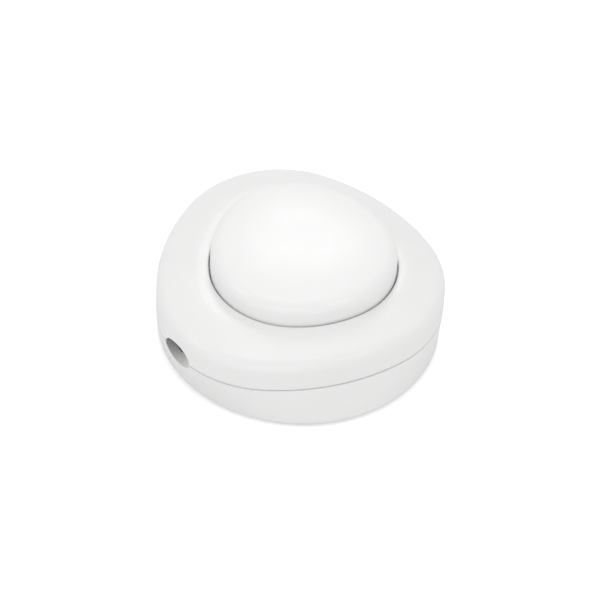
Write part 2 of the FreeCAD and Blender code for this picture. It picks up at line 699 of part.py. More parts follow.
def make_clip():
    """Push-on retaining clip at the top of the rotor post."""
    return tube(HUB_RADIUS, POST_RADIUS, CLIP_Z, BRIDGE_THICK)


def make_terminal(y_centre, width, poles):
    """Brass pillar terminal with a wire hole under each clamp screw."""
    half_x = TERMINAL_LONG / 2.0
    half_y = width / 2.0
    pillar = block(TERMINAL_X - half_x, TERMINAL_X + half_x, y_centre - half_y, y_centre + half_y,
                   TERMINAL_Z, TERMINAL_TOP)
    for y in poles:
        mouth = Vector(TERMINAL_X - half_x, y, WIRE_Z)
        hole = Part.makeCylinder(WIRE_HOLE, TERMINAL_LONG, mouth, Vector(1, 0, 0))
        pillar = pillar.cut(hole)
        pillar = pillar.cut(disc(SCREW_RADIUS, WIRE_Z, TERMINAL_TOP - WIRE_Z, TERMINAL_X, y))
    return pillar


def make_terminal_screws():
    """Clamp screws, slotted, with their points just above the wire holes."""
    screws = []
    for x, y in terminal_sites():
        low = WIRE_Z + WIRE_HOLE / 2.0
        top = TERMINAL_TOP + POLE_PROUD
        body = disc(SCREW_RADIUS, low, top - low, x, y)
        half = RECESS_WIDE / 2.0
        slot = block(x - half, x + half, y - SCREW_RADIUS, y + SCREW_RADIUS, top - SLOT_DEEP, top)
        screws.append(body.cut(slot))
    return Part.makeCompound(screws)


def make_clamp(side):
    """Cord clamp: arch over the cord, screwed down beside it, its toe against the wall."""
    y_low, y_high = sorted((side * (CLAMP_Y - CLAMP_WIDE / 2.0), side * (CLAMP_Y + CLAMP_WIDE / 2.0)))
    reach = CORD_RADIUS + CLAMP_BAR
    arch = cord_bore(reach, y_low, y_high)
    above = block(CORD_X - reach, CORD_X + reach, y_low, y_high, CLAMP_POST_TOP, PARTING + reach)
    arch = arch.common(above)
    bar_top = CLAMP_POST_TOP + CLAMP_BAR
    bar = block(CORD_X, CLAMP_POST_X + CLAMP_POST_RADIUS, y_low, y_high, CLAMP_POST_TOP, bar_top)
    clamp = arch.fuse(bar).removeSplitter()
    clamp = clamp.cut(cord_bore(CORD_RADIUS + CLAMP_CLEARANCE, y_low, y_high))
    hole = SMALL_SCREW + SCREW_SLACK
    clamp = clamp.cut(disc(hole, CLAMP_POST_TOP, CLAMP_BAR, CLAMP_POST_X, side * CLAMP_Y))
    room = prism(body_outline(PARTING, WALL + BUTTON_GAP), COVER_HEIGHT)
    return clamp.common(room)


def make_small_screws(sites):
    """Group of small pan-head screws at X, Y, seat height and shank length."""
    return Part.makeCompound([screw(SMALL_SCREW, SMALL_HEAD, SMALL_HEAD_TALL, length, x, y, z, 1)
                              for x, y, z, length in sites])


def make_housing_screws():
    """Three screws that join the shells from below."""
    seat = UNDERSIDE + COUNTERBORE_DEPTH
    length = PARTING + SCREW_BITE - SCREW_SLACK - seat
    screws = []
    for angle in SCREW_ANGLES:
        x, y = polar(SCREW_ORBIT, angle)
        screws.append(screw(SCREW_RADIUS, SCREW_HEAD, SCREW_HEAD_TALL, length, x, y, seat, -1))
    return Part.makeCompound(screws)


def make_feet():
    """Rubber feet in their recesses."""
    feet = []
    for angle in FOOT_ANGLES:
        x, y = polar(FOOT_ORBIT, angle)
        top = FOOT_PROUD + FOOT_SINK
        edge = FOOT_PROUD / 2.0
        feet.append(turned_solid(x, y, [(0.0, 0.0), (FOOT_RADIUS - edge, 0.0), (FOOT_RADIUS, edge),
                                        (FOOT_RADIUS, top), (0.0, top)]))
    return Part.makeCompound(feet)


def build():
    """Every piece by its node name."""
    bite = SMALL_BITE - SCREW_SLACK
    ear_sites = [polar(EAR_ORBIT, angle) + (EAR_BOTTOM + EAR_THICK, EAR_THICK + bite) for angle in EAR_ANGLES]
    clamp_sites = [(CLAMP_POST_X, side * CLAMP_Y, CLAMP_POST_TOP + CLAMP_BAR, CLAMP_BAR + bite)
                   for side in (-1, 1)]
    return {
        "base_shell": make_base(),
        "top_cover": make_cover(),
        "push_button": make_button(),
        "drive_plunger": make_plunger(),
        "button_spring": make_spring(),
        "switch_frame": make_frame(),
        "guide_cap": make_cap(),
        "ratchet_rotor": make_rotor(),
        "rotor_clip": make_clip(),
        "contact_bridge": make_bridge(),
        "live_in_contact": make_strip(-1, RING_CONTACT),
        "live_out_contact": make_strip(1, ARM_CONTACT),
        "contact_rivets": make_rivets(),
        "live_in_terminal": make_terminal(-TERMINAL_Y, TERMINAL_WIDE, [-TERMINAL_Y]),
        "live_out_terminal": make_terminal(TERMINAL_Y, TERMINAL_WIDE, [TERMINAL_Y]),
        "neutral_terminal": make_terminal(0.0, NEUTRAL_WIDE, [-NEUTRAL_POLE, NEUTRAL_POLE]),
        "terminal_screws": make_terminal_screws(),
        "cord_clamp_front": make_clamp(-1),
        "cord_clamp_back": make_clamp(1),
        "clamp_screws": make_small_screws(clamp_sites),
        "frame_screws": make_small_screws(ear_sites),
        "housing_screws": make_housing_screws(),
        "rubber_feet": make_feet(),
    }


os.makedirs("parts", exist_ok=True)
for name, shape in build().items():
    shape.exportStep(os.path.join("parts", name + ".step"))
    print(name, "solids", len(shape.Solids), "valid", shape.isValid(), "volume", round(shape.Volume, 1))
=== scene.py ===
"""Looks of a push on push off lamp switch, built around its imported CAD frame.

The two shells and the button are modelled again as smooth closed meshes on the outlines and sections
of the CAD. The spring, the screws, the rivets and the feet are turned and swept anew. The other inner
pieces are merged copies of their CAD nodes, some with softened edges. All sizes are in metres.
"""

import json
import logging
import math
from dataclasses import dataclass, field
from enum import Enum
from typing import Any, Callable, Optional, Sequence, Union

import bmesh
import bpy
from mathutils import Matrix, Quaternion, Vector


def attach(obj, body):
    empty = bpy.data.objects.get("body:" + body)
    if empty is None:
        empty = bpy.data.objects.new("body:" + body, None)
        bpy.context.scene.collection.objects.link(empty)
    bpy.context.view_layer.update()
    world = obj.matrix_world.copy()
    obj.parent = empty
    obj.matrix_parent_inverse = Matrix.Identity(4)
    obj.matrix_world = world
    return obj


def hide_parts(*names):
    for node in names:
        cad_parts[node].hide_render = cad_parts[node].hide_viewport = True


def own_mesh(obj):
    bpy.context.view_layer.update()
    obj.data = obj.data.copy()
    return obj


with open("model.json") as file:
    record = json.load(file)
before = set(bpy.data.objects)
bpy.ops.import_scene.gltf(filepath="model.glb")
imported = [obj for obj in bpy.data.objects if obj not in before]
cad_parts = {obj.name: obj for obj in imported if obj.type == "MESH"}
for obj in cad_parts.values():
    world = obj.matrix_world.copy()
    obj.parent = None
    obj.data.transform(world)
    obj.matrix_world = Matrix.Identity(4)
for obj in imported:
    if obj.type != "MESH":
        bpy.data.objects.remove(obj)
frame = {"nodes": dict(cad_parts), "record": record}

LOG = logging.getLogger("lamp_switch")
MM = 0.001
SHELL_SEGMENTS = 288
SMALL_SEGMENTS = 64
SMOOTH_ANGLE = math.radians(32.0)
DOUBLED = 0.0005 * MM
LOOSE_DOUBLED = 0.001 * MM
HAIR = 0.02 * MM
FAR = 36.0 * MM
UP = Vector((0.0, 0.0, 1.0))
ORIGIN = Vector((0.0, 0.0, 0.0))

Triple = tuple[float, float, float]
Colour = Triple
RingPlace = Callable[[float], Vector]


class Ends(Enum):
    """How a sweep of rings is closed."""

    CAPPED = "capped"
    JOINED = "joined"


class Cut(Enum):
    """How one solid is combined with another."""

    UNION = "UNION"
    DIFFERENCE = "DIFFERENCE"
    INTERSECT = "INTERSECT"


# Shader graphs

class Socket:
    """An output socket that can be used in arithmetic."""

    def __init__(self, graph: "Graph", out: bpy.types.NodeSocket) -> None:
        """Wrap one socket of a graph."""
        self.graph = graph
        self.out = out

    def _maths(self, operation: str, first: Any, second: Any) -> "Socket":
        """Add one Math node."""
        return self.graph.node("ShaderNodeMath", {"operation": operation}, {0: first, 1: second})

    def __add__(self, other: Any) -> "Socket":
        """Sum."""
        return self._maths("ADD", self, other)

    def __radd__(self, other: Any) -> "Socket":
        """Sum, reflected."""
        return self._maths("ADD", other, self)

    def __sub__(self, other: Any) -> "Socket":
        """Difference."""
        return self._maths("SUBTRACT", self, other)

    def __rsub__(self, other: Any) -> "Socket":
        """Difference, reflected."""
        return self._maths("SUBTRACT", other, self)

    def __mul__(self, other: Any) -> "Socket":
        """Product."""
        return self._maths("MULTIPLY", self, other)

    def __rmul__(self, other: Any) -> "Socket":
        """Product, reflected."""
        return self._maths("MULTIPLY", other, self)


class Graph:
    """The nodes of one material or world, with a method that adds any node."""

    def __init__(self, tree: bpy.types.NodeTree) -> None:
        """Start from an empty tree."""
        self.tree = tree
        self.tree.nodes.clear()

    def node(self, kind: str, settings: Optional[dict[str, Any]] = None,
             inputs: Optional[dict[Union[int, str], Any]] = None, out: Union[int, str] = 0) -> Socket:
        """Add a node.

        Args:
            kind: the node's type.
            settings: properties that are set before the sockets.
            inputs: values or sockets by the input's index or name.
            out: the output that is wanted.

        Returns:
            The wanted output, ready for arithmetic.
        """
        made = self.tree.nodes.new(kind)
        for name, value in (settings or {}).items():
            setattr(made, name, value)
        for key, value in (inputs or {}).items():
            if isinstance(value, Socket):
                self.tree.links.new(value.out, made.inputs[key])
            else:
                made.inputs[key].default_value = value
        return Socket(self, made.outputs[out]) if made.outputs else Socket(self, None)

    def place(self) -> Socket:
        """Object coordinates."""
        return self.node("ShaderNodeTexCoord", out="Object")

    def stretched(self, place: Socket, scale: Triple) -> Socket:
        """Coordinates with a scale of their own along each axis."""
        return self.node("ShaderNodeMapping", {}, {"Vector": place, "Scale": scale})

    def noise(self, place: Socket, size: float, detail: float = 2.0, rough: float = 0.5) -> Socket:
        """Noise from 0 to 1.

        Args:
            place: the coordinates it reads.
            size: how large its features are, in metres.
            detail: how many finer layers it has.
            rough: how strong the finer layers are.

        Returns:
            The noise's value.
        """
        return self.node("ShaderNodeTexNoise", {}, {"Vector": place, "Scale": 1.0 / size,
                                                    "Detail": detail, "Roughness": rough}, out=0)

    def ramp(self, value: Socket, low: float, high: float) -> Socket:
        """Value spread so that low gives 0 and high gives 1."""
        return self.node("ShaderNodeMapRange", {"clamp": True},
                         {"Value": value, "From Min": low, "From Max": high, "To Min": 0.0, "To Max": 1.0})

    def mixed(self, share: Union[Socket, float], first: Any, second: Any) -> Socket:
        """Two colours mixed by a share."""
        return self.node("ShaderNodeMix", {"data_type": "RGBA"}, {0: share, 6: first, 7: second}, out=2)

    def bump(self, height: Socket, distance: float, strength: float,
             under: Optional[Socket] = None) -> Socket:
        """Normal with a height on it.

        Args:
            height: the height from 0 to 1.
            distance: how deep the full height is.
            strength: how much of it shows.
            under: another bump that this one lies on.

        Returns:
            The normal.
        """
        inputs = {"Strength": strength, "Distance": distance, "Height": height}
        if under is not None:
            inputs["Normal"] = under
        return self.node("ShaderNodeBump", {}, inputs)

    def finish(self, inputs: dict[Union[int, str], Any]) -> None:
        """End the graph in one surface shader with these inputs."""
        surface = self.node("ShaderNodeBsdfPrincipled", {}, inputs)
        self.node("ShaderNodeOutputMaterial", {}, {"Surface": surface})


def new_material(name: str) -> tuple[bpy.types.Material, Graph]:
    """Start a material.

    Args:
        name: its name.

    Returns:
        The material and its empty graph.
    """
    material = bpy.data.materials.new(name)
    material.use_nodes = True
    return material, Graph(material.node_tree)


def opaque(colour: Colour) -> tuple[float, float, float, float]:
    """Colour with full alpha."""
    return (*colour, 1.0)


def shaded(colour: Colour, factor: float) -> tuple[float, float, float, float]:
    """Colour made darker or lighter by a factor, with full alpha."""
    return opaque(tuple(min(channel * factor, 1.0) for channel in colour))


# Finishes

@dataclass(frozen=True)
class MouldedPlastic:
    """Injection-moulded plastic with a fine texture from the mould, faint flow marks and light handling wear.

    Args:
        name: the material's name.
        colour: the plastic's own colour.
        roughness: its middle roughness.
        grain_size: how far apart the texture's grains are.
        grain_depth: how deep they are.
        mottle: how much the colour varies, as a share.
        rub: how much smoother the rubbed patches are.
        sink: how deep the broad sink marks are.
        flow_size: how broad the flow marks are.
        flow_share: how much of the colour's change they make, with the speckle as the rest.
        speckle_size: how large the speckle is.
        speckle_rough: how much the speckle roughens the surface.
        rub_size: how broad the rubbed patches are.
        sink_size: how broad the sink marks are.
    """

    name: str
    colour: Colour
    roughness: float
    grain_size: float = 0.35 * MM
    grain_depth: float = 0.002 * MM
    mottle: float = 0.02
    rub: float = 0.05
    sink: float = 0.012 * MM
    flow_size: float = 9.0 * MM
    flow_share: float = 0.8
    speckle_size: float = 0.9 * MM
    speckle_rough: float = 0.04
    rub_size: float = 5.0 * MM
    sink_size: float = 14.0 * MM

    FLOW_STRETCH = (1.0, 1.0, 1.8)
    IOR = 1.49

    def build(self) -> bpy.types.Material:
        """Make the material.

        Returns:
            The finished material.
        """
        material, graph = new_material(self.name)
        place = graph.place()
        flow = graph.noise(graph.stretched(place, self.FLOW_STRETCH), self.flow_size, 3.0, 0.55)
        speckle = graph.noise(place, self.speckle_size, 2.0, 0.6)
        shade = graph.ramp(flow * self.flow_share + speckle * (1.0 - self.flow_share), 0.3, 0.7)
        colour = graph.mixed(shade, shaded(self.colour, 1.0 - self.mottle), opaque(self.colour))
        wear = graph.ramp(graph.noise(place, self.rub_size, 4.0, 0.65), 0.45, 0.75)
        roughness = self.roughness - wear * self.rub + speckle * self.speckle_rough
        broad = graph.bump(graph.noise(place, self.sink_size, 1.0, 0.4), self.sink, 0.5)
        grain = graph.bump(graph.noise(place, self.grain_size, 1.0, 0.5), self.grain_depth, 0.6, broad)
        graph.finish({"Base Color": colour, "Roughness": roughness, "Normal": grain, "IOR": self.IOR})
        return material


@dataclass(frozen=True)
class WorkedMetal:
    """Stamped, turned or drawn metal with fine working lines and dull patches.

    Args:
        name: the material's name.
        colour: the metal's own colour.
        tarnish: the colour of its dull patches.
        roughness: its middle roughness.
        lines: how the working lines are stretched along each axis.
        line_size: how far apart the working lines are.
        line_depth: how deep they are.
        patch_size: how broad the dull patches are.
        patch_share: how far the colour goes towards the tarnish.
        patch_rough: how much rougher the dull patches are.
        line_rough: how much the lines roughen the surface.
    """

    name: str
    colour: Colour
    tarnish: Colour
    roughness: float
    lines: Triple = (1.0, 1.0, 14.0)
    line_size: float = 0.6 * MM
    line_depth: float = 0.004 * MM
    patch_size: float = 2.2 * MM
    patch_share: float = 0.7
    patch_rough: float = 0.18
    line_rough: float = 0.08

    def build(self) -> bpy.types.Material:
        """Make the material.

        Returns:
            The finished material.
        """
        material, graph = new_material(self.name)
        place = graph.place()
        patches = graph.ramp(graph.noise(place, self.patch_size, 4.0, 0.6), 0.5, 0.8)
        scratches = graph.noise(graph.stretched(place, self.lines), self.line_size, 2.0, 0.6)
        colour = graph.mixed(patches * self.patch_share, opaque(self.colour), opaque(self.tarnish))
        roughness = self.roughness + patches * self.patch_rough + scratches * self.line_rough
        normal = graph.bump(scratches, self.line_depth, 0.5)
        graph.finish({"Base Color": colour, "Roughness": roughness, "Metallic": 1.0, "Normal": normal})
        return material


@dataclass(frozen=True)
class SoftRubber:
    """Soft grey rubber with a matt, slightly dusty skin.

    Args:
        name: the material's name.
        colour: the rubber's own colour.
        dust: the colour of the dust on it.
        roughness: its roughness where it is clean.
        dust_size: how broad the dusty patches are.
        dust_share: how far the colour goes towards the dust.
        dust_rough: how much rougher the dust is.
        pore_size: how far apart the pores are.
        pore_depth: how deep they are.
    """

    name: str
    colour: Colour
    dust: Colour
    roughness: float = 0.72
    dust_size: float = 1.6 * MM
    dust_share: float = 0.5
    dust_rough: float = 0.15
    pore_size: float = 0.2 * MM
    pore_depth: float = 0.01 * MM

    IOR = 1.45

    def build(self) -> bpy.types.Material:
        """Make the material.

        Returns:
            The finished material.
        """
        material, graph = new_material(self.name)
        place = graph.place()
        dusty = graph.ramp(graph.noise(place, self.dust_size, 5.0, 0.65), 0.45, 0.8)
        pores = graph.noise(place, self.pore_size, 2.0, 0.5)
        colour = graph.mixed(dusty * self.dust_share, opaque(self.colour), opaque(self.dust))
        normal = graph.bump(pores, self.pore_depth, 0.7)
        graph.finish({"Base Color": colour, "Roughness": self.roughness + dusty * self.dust_rough,
                      "Normal": normal, "IOR": self.IOR})
        return material


FINISHES: dict[str, Union[MouldedPlastic, WorkedMetal, SoftRubber]] = {
    "housing_white": MouldedPlastic("housing_white_plastic", (0.83, 0.83, 0.825), 0.34),
    "button_white": MouldedPlastic("button_white_plastic", (0.85, 0.85, 0.845), 0.34,
                                   grain_depth=0.0015 * MM),
    "frame_black": MouldedPlastic("frame_black_plastic", (0.03, 0.03, 0.033), 0.5, mottle=0.2),
    "cap_natural": MouldedPlastic("cap_natural_plastic", (0.66, 0.62, 0.53), 0.45, mottle=0.08),
    "rotor_grey": MouldedPlastic("rotor_grey_acetal", (0.2, 0.21, 0.23), 0.38, mottle=0.1),
    "plunger_natural": MouldedPlastic("plunger_natural_acetal", (0.74, 0.72, 0.66), 0.33, mottle=0.05),
    "brass": WorkedMetal("stamped_brass", (0.82, 0.6, 0.27), (0.5, 0.34, 0.16), 0.26, (14.0, 1.0, 1.0)),
    "silver": WorkedMetal("contact_silver", (0.9, 0.89, 0.86), (0.55, 0.53, 0.5), 0.2),
    "steel": WorkedMetal("zinc_plated_steel", (0.76, 0.77, 0.79), (0.5, 0.51, 0.54), 0.28),
    "rubber": SoftRubber("grey_rubber", (0.33, 0.33, 0.33), (0.55, 0.54, 0.52)),
}


# Outlines, rings and sweeps

@dataclass(frozen=True)
class LobedOutline:
    """Rounded triangle of three corner arcs and three long side arcs that meet smoothly.

    Args:
        radius: its middle radius.
        lobe: how far the corners stand out, and the sides in, from that radius.
        shift: how far its middle lies from the origin along X.
    """

    radius: float
    lobe: float = 0.0
    shift: float = 0.0

    CORNER_OUT = 5.6
    SIDE_OUT = 11.5

    def place(self, angle: float, inset: float) -> tuple[float, float]:
        """Point whose outward direction has an angle.

        Args:
            angle: the direction in radians.
            inset: how far inside the outline the point lies.

        Returns:
            The point's X and Y.
        """
        third = math.radians(120.0)
        corner = round(angle / third) * third
        meet = math.atan2(self.SIDE_OUT * math.sin(third / 2.0),
                          self.CORNER_OUT + self.SIDE_OUT * math.cos(third / 2.0))
        if abs(angle - corner) <= meet:
            middle, out = corner, self.CORNER_OUT * self.lobe
            reach = self.radius + self.lobe - out
        else:
            middle = corner + math.copysign(third / 2.0, angle - corner) + math.pi
            out = self.SIDE_OUT * self.lobe
            reach = self.radius - self.lobe + out
        x = self.shift + out * math.cos(middle) + (reach - inset) * math.cos(angle)
        y = out * math.sin(middle) + (reach - inset) * math.sin(angle)
        return x, y

    def level(self, inset: float, z: float) -> RingPlace:
        """Ring at a height, moved inward by inset."""
        return lambda angle: Vector((*self.place(angle, inset), z))


def between(low: RingPlace, high: RingPlace, share: float) -> RingPlace:
    """Ring part of the way from one ring to another."""
    return lambda angle: low(angle).lerp(high(angle), share)


def staggered(ring: RingPlace) -> RingPlace:
    """Same ring with its points half a step further round, clear of the points of a sweep it crosses."""
    return lambda angle: ring(angle + math.pi / SHELL_SEGMENTS)


def arc_section(centre: tuple[float, float], radius: float, start: float, end: float,
                steps: int) -> list[tuple[float, float]]:
    """Points of an arc in inset and height.

    Args:
        centre: the arc's centre in inset and height.
        radius: its radius.
        start: its first angle in degrees, from straight inward towards up.
        end: its last angle in degrees.
        steps: how many runs it has.

    Returns:
        The points in order, both ends included.
    """
    points = []
    for step in range(steps + 1):
        angle = math.radians(start + (end - start) * step / steps)
        points.append((centre[0] + radius * math.cos(angle), centre[1] + radius * math.sin(angle)))
    return points


def rounded_corners(corners: Sequence[tuple[float, float, float]],
                    steps: int = 4) -> list[tuple[float, float]]:
    """Row of points with some of its corners rounded.

    Args:
        corners: each corner's inset, height and rounding, which is 0 on a sharp corner and at both ends.
        steps: how many runs a rounding has.

    Returns:
        The points in order.
    """
    points = []
    for count, (inset, z, rounding) in enumerate(corners):
        here = Vector((inset, z))
        if not rounding:
            points.append((inset, z))
            continue
        back = (Vector(corners[count - 1][:2]) - here).normalized()
        ahead = (Vector(corners[count + 1][:2]) - here).normalized()
        half = back.angle(ahead) / 2.0
        centre = here + (back + ahead).normalized() * rounding / math.sin(half)
        first = here + back * rounding / math.tan(half) - centre
        last = here + ahead * rounding / math.tan(half) - centre
        for step in range(steps + 1):
            points.append(tuple(centre + first.slerp(last, step / steps) * rounding))
    return points


@dataclass(frozen=True)
class CrownedSection:
    """Upright wall, rounded shoulder and a crown that eases from one slope to another.

    Args:
        inset: the wall's inset.
        rounding: the shoulder's radius.
        outer_slope: the crown's slope beside the shoulder, in degrees.
        inner_slope: its slope at its inner end, in degrees.
        crown_inset: the inset of that inner end.
        top: the height of that inner end.
    """

    inset: float
    rounding: float
    outer_slope: float
    inner_slope: float
    crown_inset: float
    top: float

    def points(self, shoulder_steps: int, crown_steps: int) -> list[tuple[float, float]]:
        """Points from the shoulder's foot to the crown's inner end.

        Args:
            shoulder_steps: how many runs the shoulder has.
            crown_steps: how many runs the crown has.

        Returns:
            The points in inset and height.
        """
        turn = math.radians(self.outer_slope)
        ease = math.radians(self.inner_slope)
        shoulder_end = self.inset + self.rounding * (1.0 - math.sin(turn))
        crown = (self.crown_inset - shoulder_end) / (math.sin(turn) - math.sin(ease))
        shoulder_top = self.top - crown * (math.cos(ease) - math.cos(turn))
        shoulder_low = shoulder_top - self.rounding * math.cos(turn)
        shoulder = arc_section((self.inset + self.rounding, shoulder_low), self.rounding, 180.0,
                               90.0 + self.outer_slope, shoulder_steps)
        crown_centre = (shoulder_end + crown * math.sin(turn), shoulder_top - crown * math.cos(turn))
        top = arc_section(crown_centre, crown, 90.0 + self.outer_slope, 90.0 + self.inner_slope, crown_steps)
        return shoulder + top[1:]


def sweep_rings(rings: Sequence[RingPlace], ends: Ends,
                segments: int = SHELL_SEGMENTS) -> bmesh.types.BMesh:
    """Extrude a circle through a row of rings.

    Args:
        rings: where each ring's points lie by their angle.
        ends: whether the two ends are capped or joined to each other.
        segments: how many points a ring has.

    Returns:
        A closed mesh.
    """
    mesh = bmesh.new()
    angle_of = mesh.verts.layers.float.new("angle")
    loop = bmesh.ops.create_circle(mesh, segments=segments, radius=1.0)["verts"]
    for vert in loop:
        vert[angle_of] = math.atan2(vert.co.y, vert.co.x)
    edges = list(mesh.edges)
    for count, ring in enumerate(rings):
        if count:
            made = bmesh.ops.extrude_edge_only(mesh, edges=edges)["geom"]
            loop = [item for item in made if isinstance(item, bmesh.types.BMVert)]
            edges = [item for item in made if isinstance(item, bmesh.types.BMEdge)]
        for vert in loop:
            vert.co = ring(vert[angle_of])
    rims = [edge for edge in mesh.edges if edge.is_boundary]
    if ends is Ends.JOINED:
        bmesh.ops.bridge_loops(mesh, edges=rims)
    else:
        bmesh.ops.holes_fill(mesh, edges=rims, sides=0)
    mesh.verts.layers.float.remove(angle_of)
    bmesh.ops.recalc_face_normals(mesh, faces=mesh.faces)
    return mesh


def turned_solid(section: Sequence[tuple[float, float]], x: float, y: float,
                 ends: Ends = Ends.CAPPED) -> bmesh.types.BMesh:
    """Solid of revolution about an upright axis.

    Args:
        section: its outline as radius and height, in order.
        x: the axis's X.
        y: the axis's Y.
        ends: whether its ends are capped, or joined as on a tube.

    Returns:
        A closed mesh.
    """
    rings = [LobedOutline(radius).level(0.0, z) for radius, z in section]
    mesh = sweep_rings(rings, ends, SMALL_SEGMENTS)
    bmesh.ops.translate(mesh, vec=(x, y, 0.0), verts=mesh.verts)
    return mesh


def block(low: Sequence[float], high: Sequence[float]) -> bmesh.types.BMesh:
    """Box between two corners.

    Args:
        low: its low corner.
        high: its high corner.

    Returns:
        A closed mesh.
    """
    low, high = Vector(low), Vector(high)
    mesh = bmesh.new()
    bmesh.ops.create_cube(mesh, size=1.0)
    bmesh.ops.scale(mesh, vec=high - low, verts=mesh.verts)
    bmesh.ops.translate(mesh, vec=(low + high) / 2.0, verts=mesh.verts)
    return mesh


def as_object(mesh: bmesh.types.BMesh, name: str) -> bpy.types.Object:
    """Object that holds a finished mesh, at the origin.

    Args:
        mesh: the mesh, which is freed.
        name: the object's name.

    Returns:
        The new object, in the scene.
    """
    data = bpy.data.meshes.new(name)
    mesh.to_mesh(data)
    mesh.free()
    made = bpy.data.objects.new(name, data)
    bpy.context.scene.collection.objects.link(made)
    return made


def weld(data: bpy.types.Mesh) -> None:
    """Merge the doubled points of a mesh.

    Args:
        data: the mesh, which changes in place.
    """
    mesh = bmesh.new()
    mesh.from_mesh(data)
    bmesh.ops.remove_doubles(mesh, verts=mesh.verts, dist=DOUBLED)
    mesh.to_mesh(data)
    mesh.free()


def combine(target: bpy.types.Object, tools: Sequence[bmesh.types.BMesh], cut: Cut) -> None:
    """Combine an object with solids, one after another.

    Args:
        target: the object whose mesh changes.
        tools: the solids, which are freed.
        cut: whether they are added, cut out, or limit what stays.
    """
    for tool in tools:
        other = as_object(tool, "tool")
        step = target.modifiers.new("combine", "BOOLEAN")
        step.operation = cut.value
        step.solver = "EXACT"
        step.object = other
        bpy.context.view_layer.update()
        graph = bpy.context.evaluated_depsgraph_get()
        result = bpy.data.meshes.new_from_object(target.evaluated_get(graph), depsgraph=graph)
        target.modifiers.clear()
        old = target.data
        target.data = result
        weld(result)
        bpy.data.meshes.remove(old)
        bpy.data.meshes.remove(other.data)


def carved(solid: bmesh.types.BMesh, tools: Sequence[bmesh.types.BMesh], cut: Cut) -> bmesh.types.BMesh:
    """Combine a solid with others before it is part of an object.

    Args:
        solid: the solid, which is freed.
        tools: the other solids, which are freed.
        cut: how they are combined with it.

    Returns:
        The resulting mesh.
    """
    held = as_object(solid, "held")
    combine(held, tools, cut)
    mesh = bmesh.new()
    mesh.from_mesh(held.data)
    bpy.data.meshes.remove(held.data)
    return mesh


def within(solids: Sequence[bmesh.types.BMesh], room: Sequence[RingPlace]) -> list[bmesh.types.BMesh]:
    """Trim solids to a space.

    Args:
        solids: the solids, which are freed.
        room: rings round the space, from its foot to its top.

    Returns:
        What lies inside it of each solid.
    """
    rings = [staggered(ring) for ring in room]
    return [carved(solid, [sweep_rings(rings, Ends.CAPPED)], Cut.INTERSECT) for solid in solids]


def gathered(meshes: Sequence[bmesh.types.BMesh]) -> bmesh.types.BMesh:
    """Put several separate solids in one mesh.

    Args:
        meshes: the solids, which are freed.

    Returns:
        The mesh that holds them all.
    """
    whole = bmesh.new()
    for mesh in meshes:
        data = bpy.data.meshes.new("share")
        mesh.to_mesh(data)
        mesh.free()
        whole.from_mesh(data)
        bpy.data.meshes.remove(data)
    return whole


def solids_of(node: str) -> list[tuple[Vector, Vector]]:
    """Find the box of each separate solid of a CAD node.

    Args:
        node: the CAD node.

    Returns:
        Each solid's low and high corner.
    """
    mesh = bmesh.new()
    mesh.from_mesh(frame["nodes"][node].data)
    bmesh.ops.remove_doubles(mesh, verts=mesh.verts, dist=LOOSE_DOUBLED)
    waiting = set(mesh.verts)
    boxes = []
    while waiting:
        front = [waiting.pop()]
        points = []
        while front:
            vert = front.pop()
            points.append(vert.co.copy())
            fresh = [edge.other_vert(vert) for edge in vert.link_edges if edge.other_vert(vert) in waiting]
            waiting.difference_update(fresh)
            front += fresh
        boxes.append((Vector(map(min, zip(*points))), Vector(map(max, zip(*points)))))
    mesh.free()
    return boxes


def finish_piece(piece: bpy.types.Object, node: str, slot: str) -> bpy.types.Object:
    """Shade a piece, dress it, and let it stand for its CAD node.

    Args:
        piece: the finished object.
        node: the CAD node it stands for.
        slot: the material slot it takes its finish from.

    Returns:
        The same object.
    """
    weld(piece.data)
    piece.data.shade_smooth()
    piece.data.set_sharp_from_angle(angle=SMOOTH_ANGLE)
    piece.data.materials.clear()
    piece.data.materials.append(bpy.data.materials[FINISHES[slot].name])
    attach(piece, BODY_OF[node])
    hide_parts(node)
    LOG.info("%s: %d faces on %s", piece.name, len(piece.data.polygons), BODY_OF[node])
    return piece


BODY_OF: dict[str, str] = {node: body for body, nodes in frame["record"]["behaviour"]["bodies"].items()
                           for node in nodes}
SLOT_OF: dict[str, str] = {row["node"]: row["material_slot"] for row in frame["record"]["subparts"]}
BODY_OUTLINE = LobedOutline(31.5 * MM, 1.55 * MM, -1.2 * MM)
BUTTON_OUTLINE = LobedOutline(20.4 * MM, 0.56 * MM)
PARTING = 10.5 * MM


# The shells

def on_circle(orbit: float, angles: Sequence[float]) -> list[tuple[float, float]]:
    """X and Y of places on a circle round the origin, by their angles in degrees."""
    turns = [math.radians(angle) for angle in angles]
    return [(orbit * math.cos(turn), orbit * math.sin(turn)) for turn in turns]


def pins(places: Sequence[tuple[float, float]], radius: float, low: float,
         high: float) -> list[bmesh.types.BMesh]:
    """Upright cylinders at several places."""
    return [turned_solid([(radius, low), (radius, high)], x, y) for x, y in places]


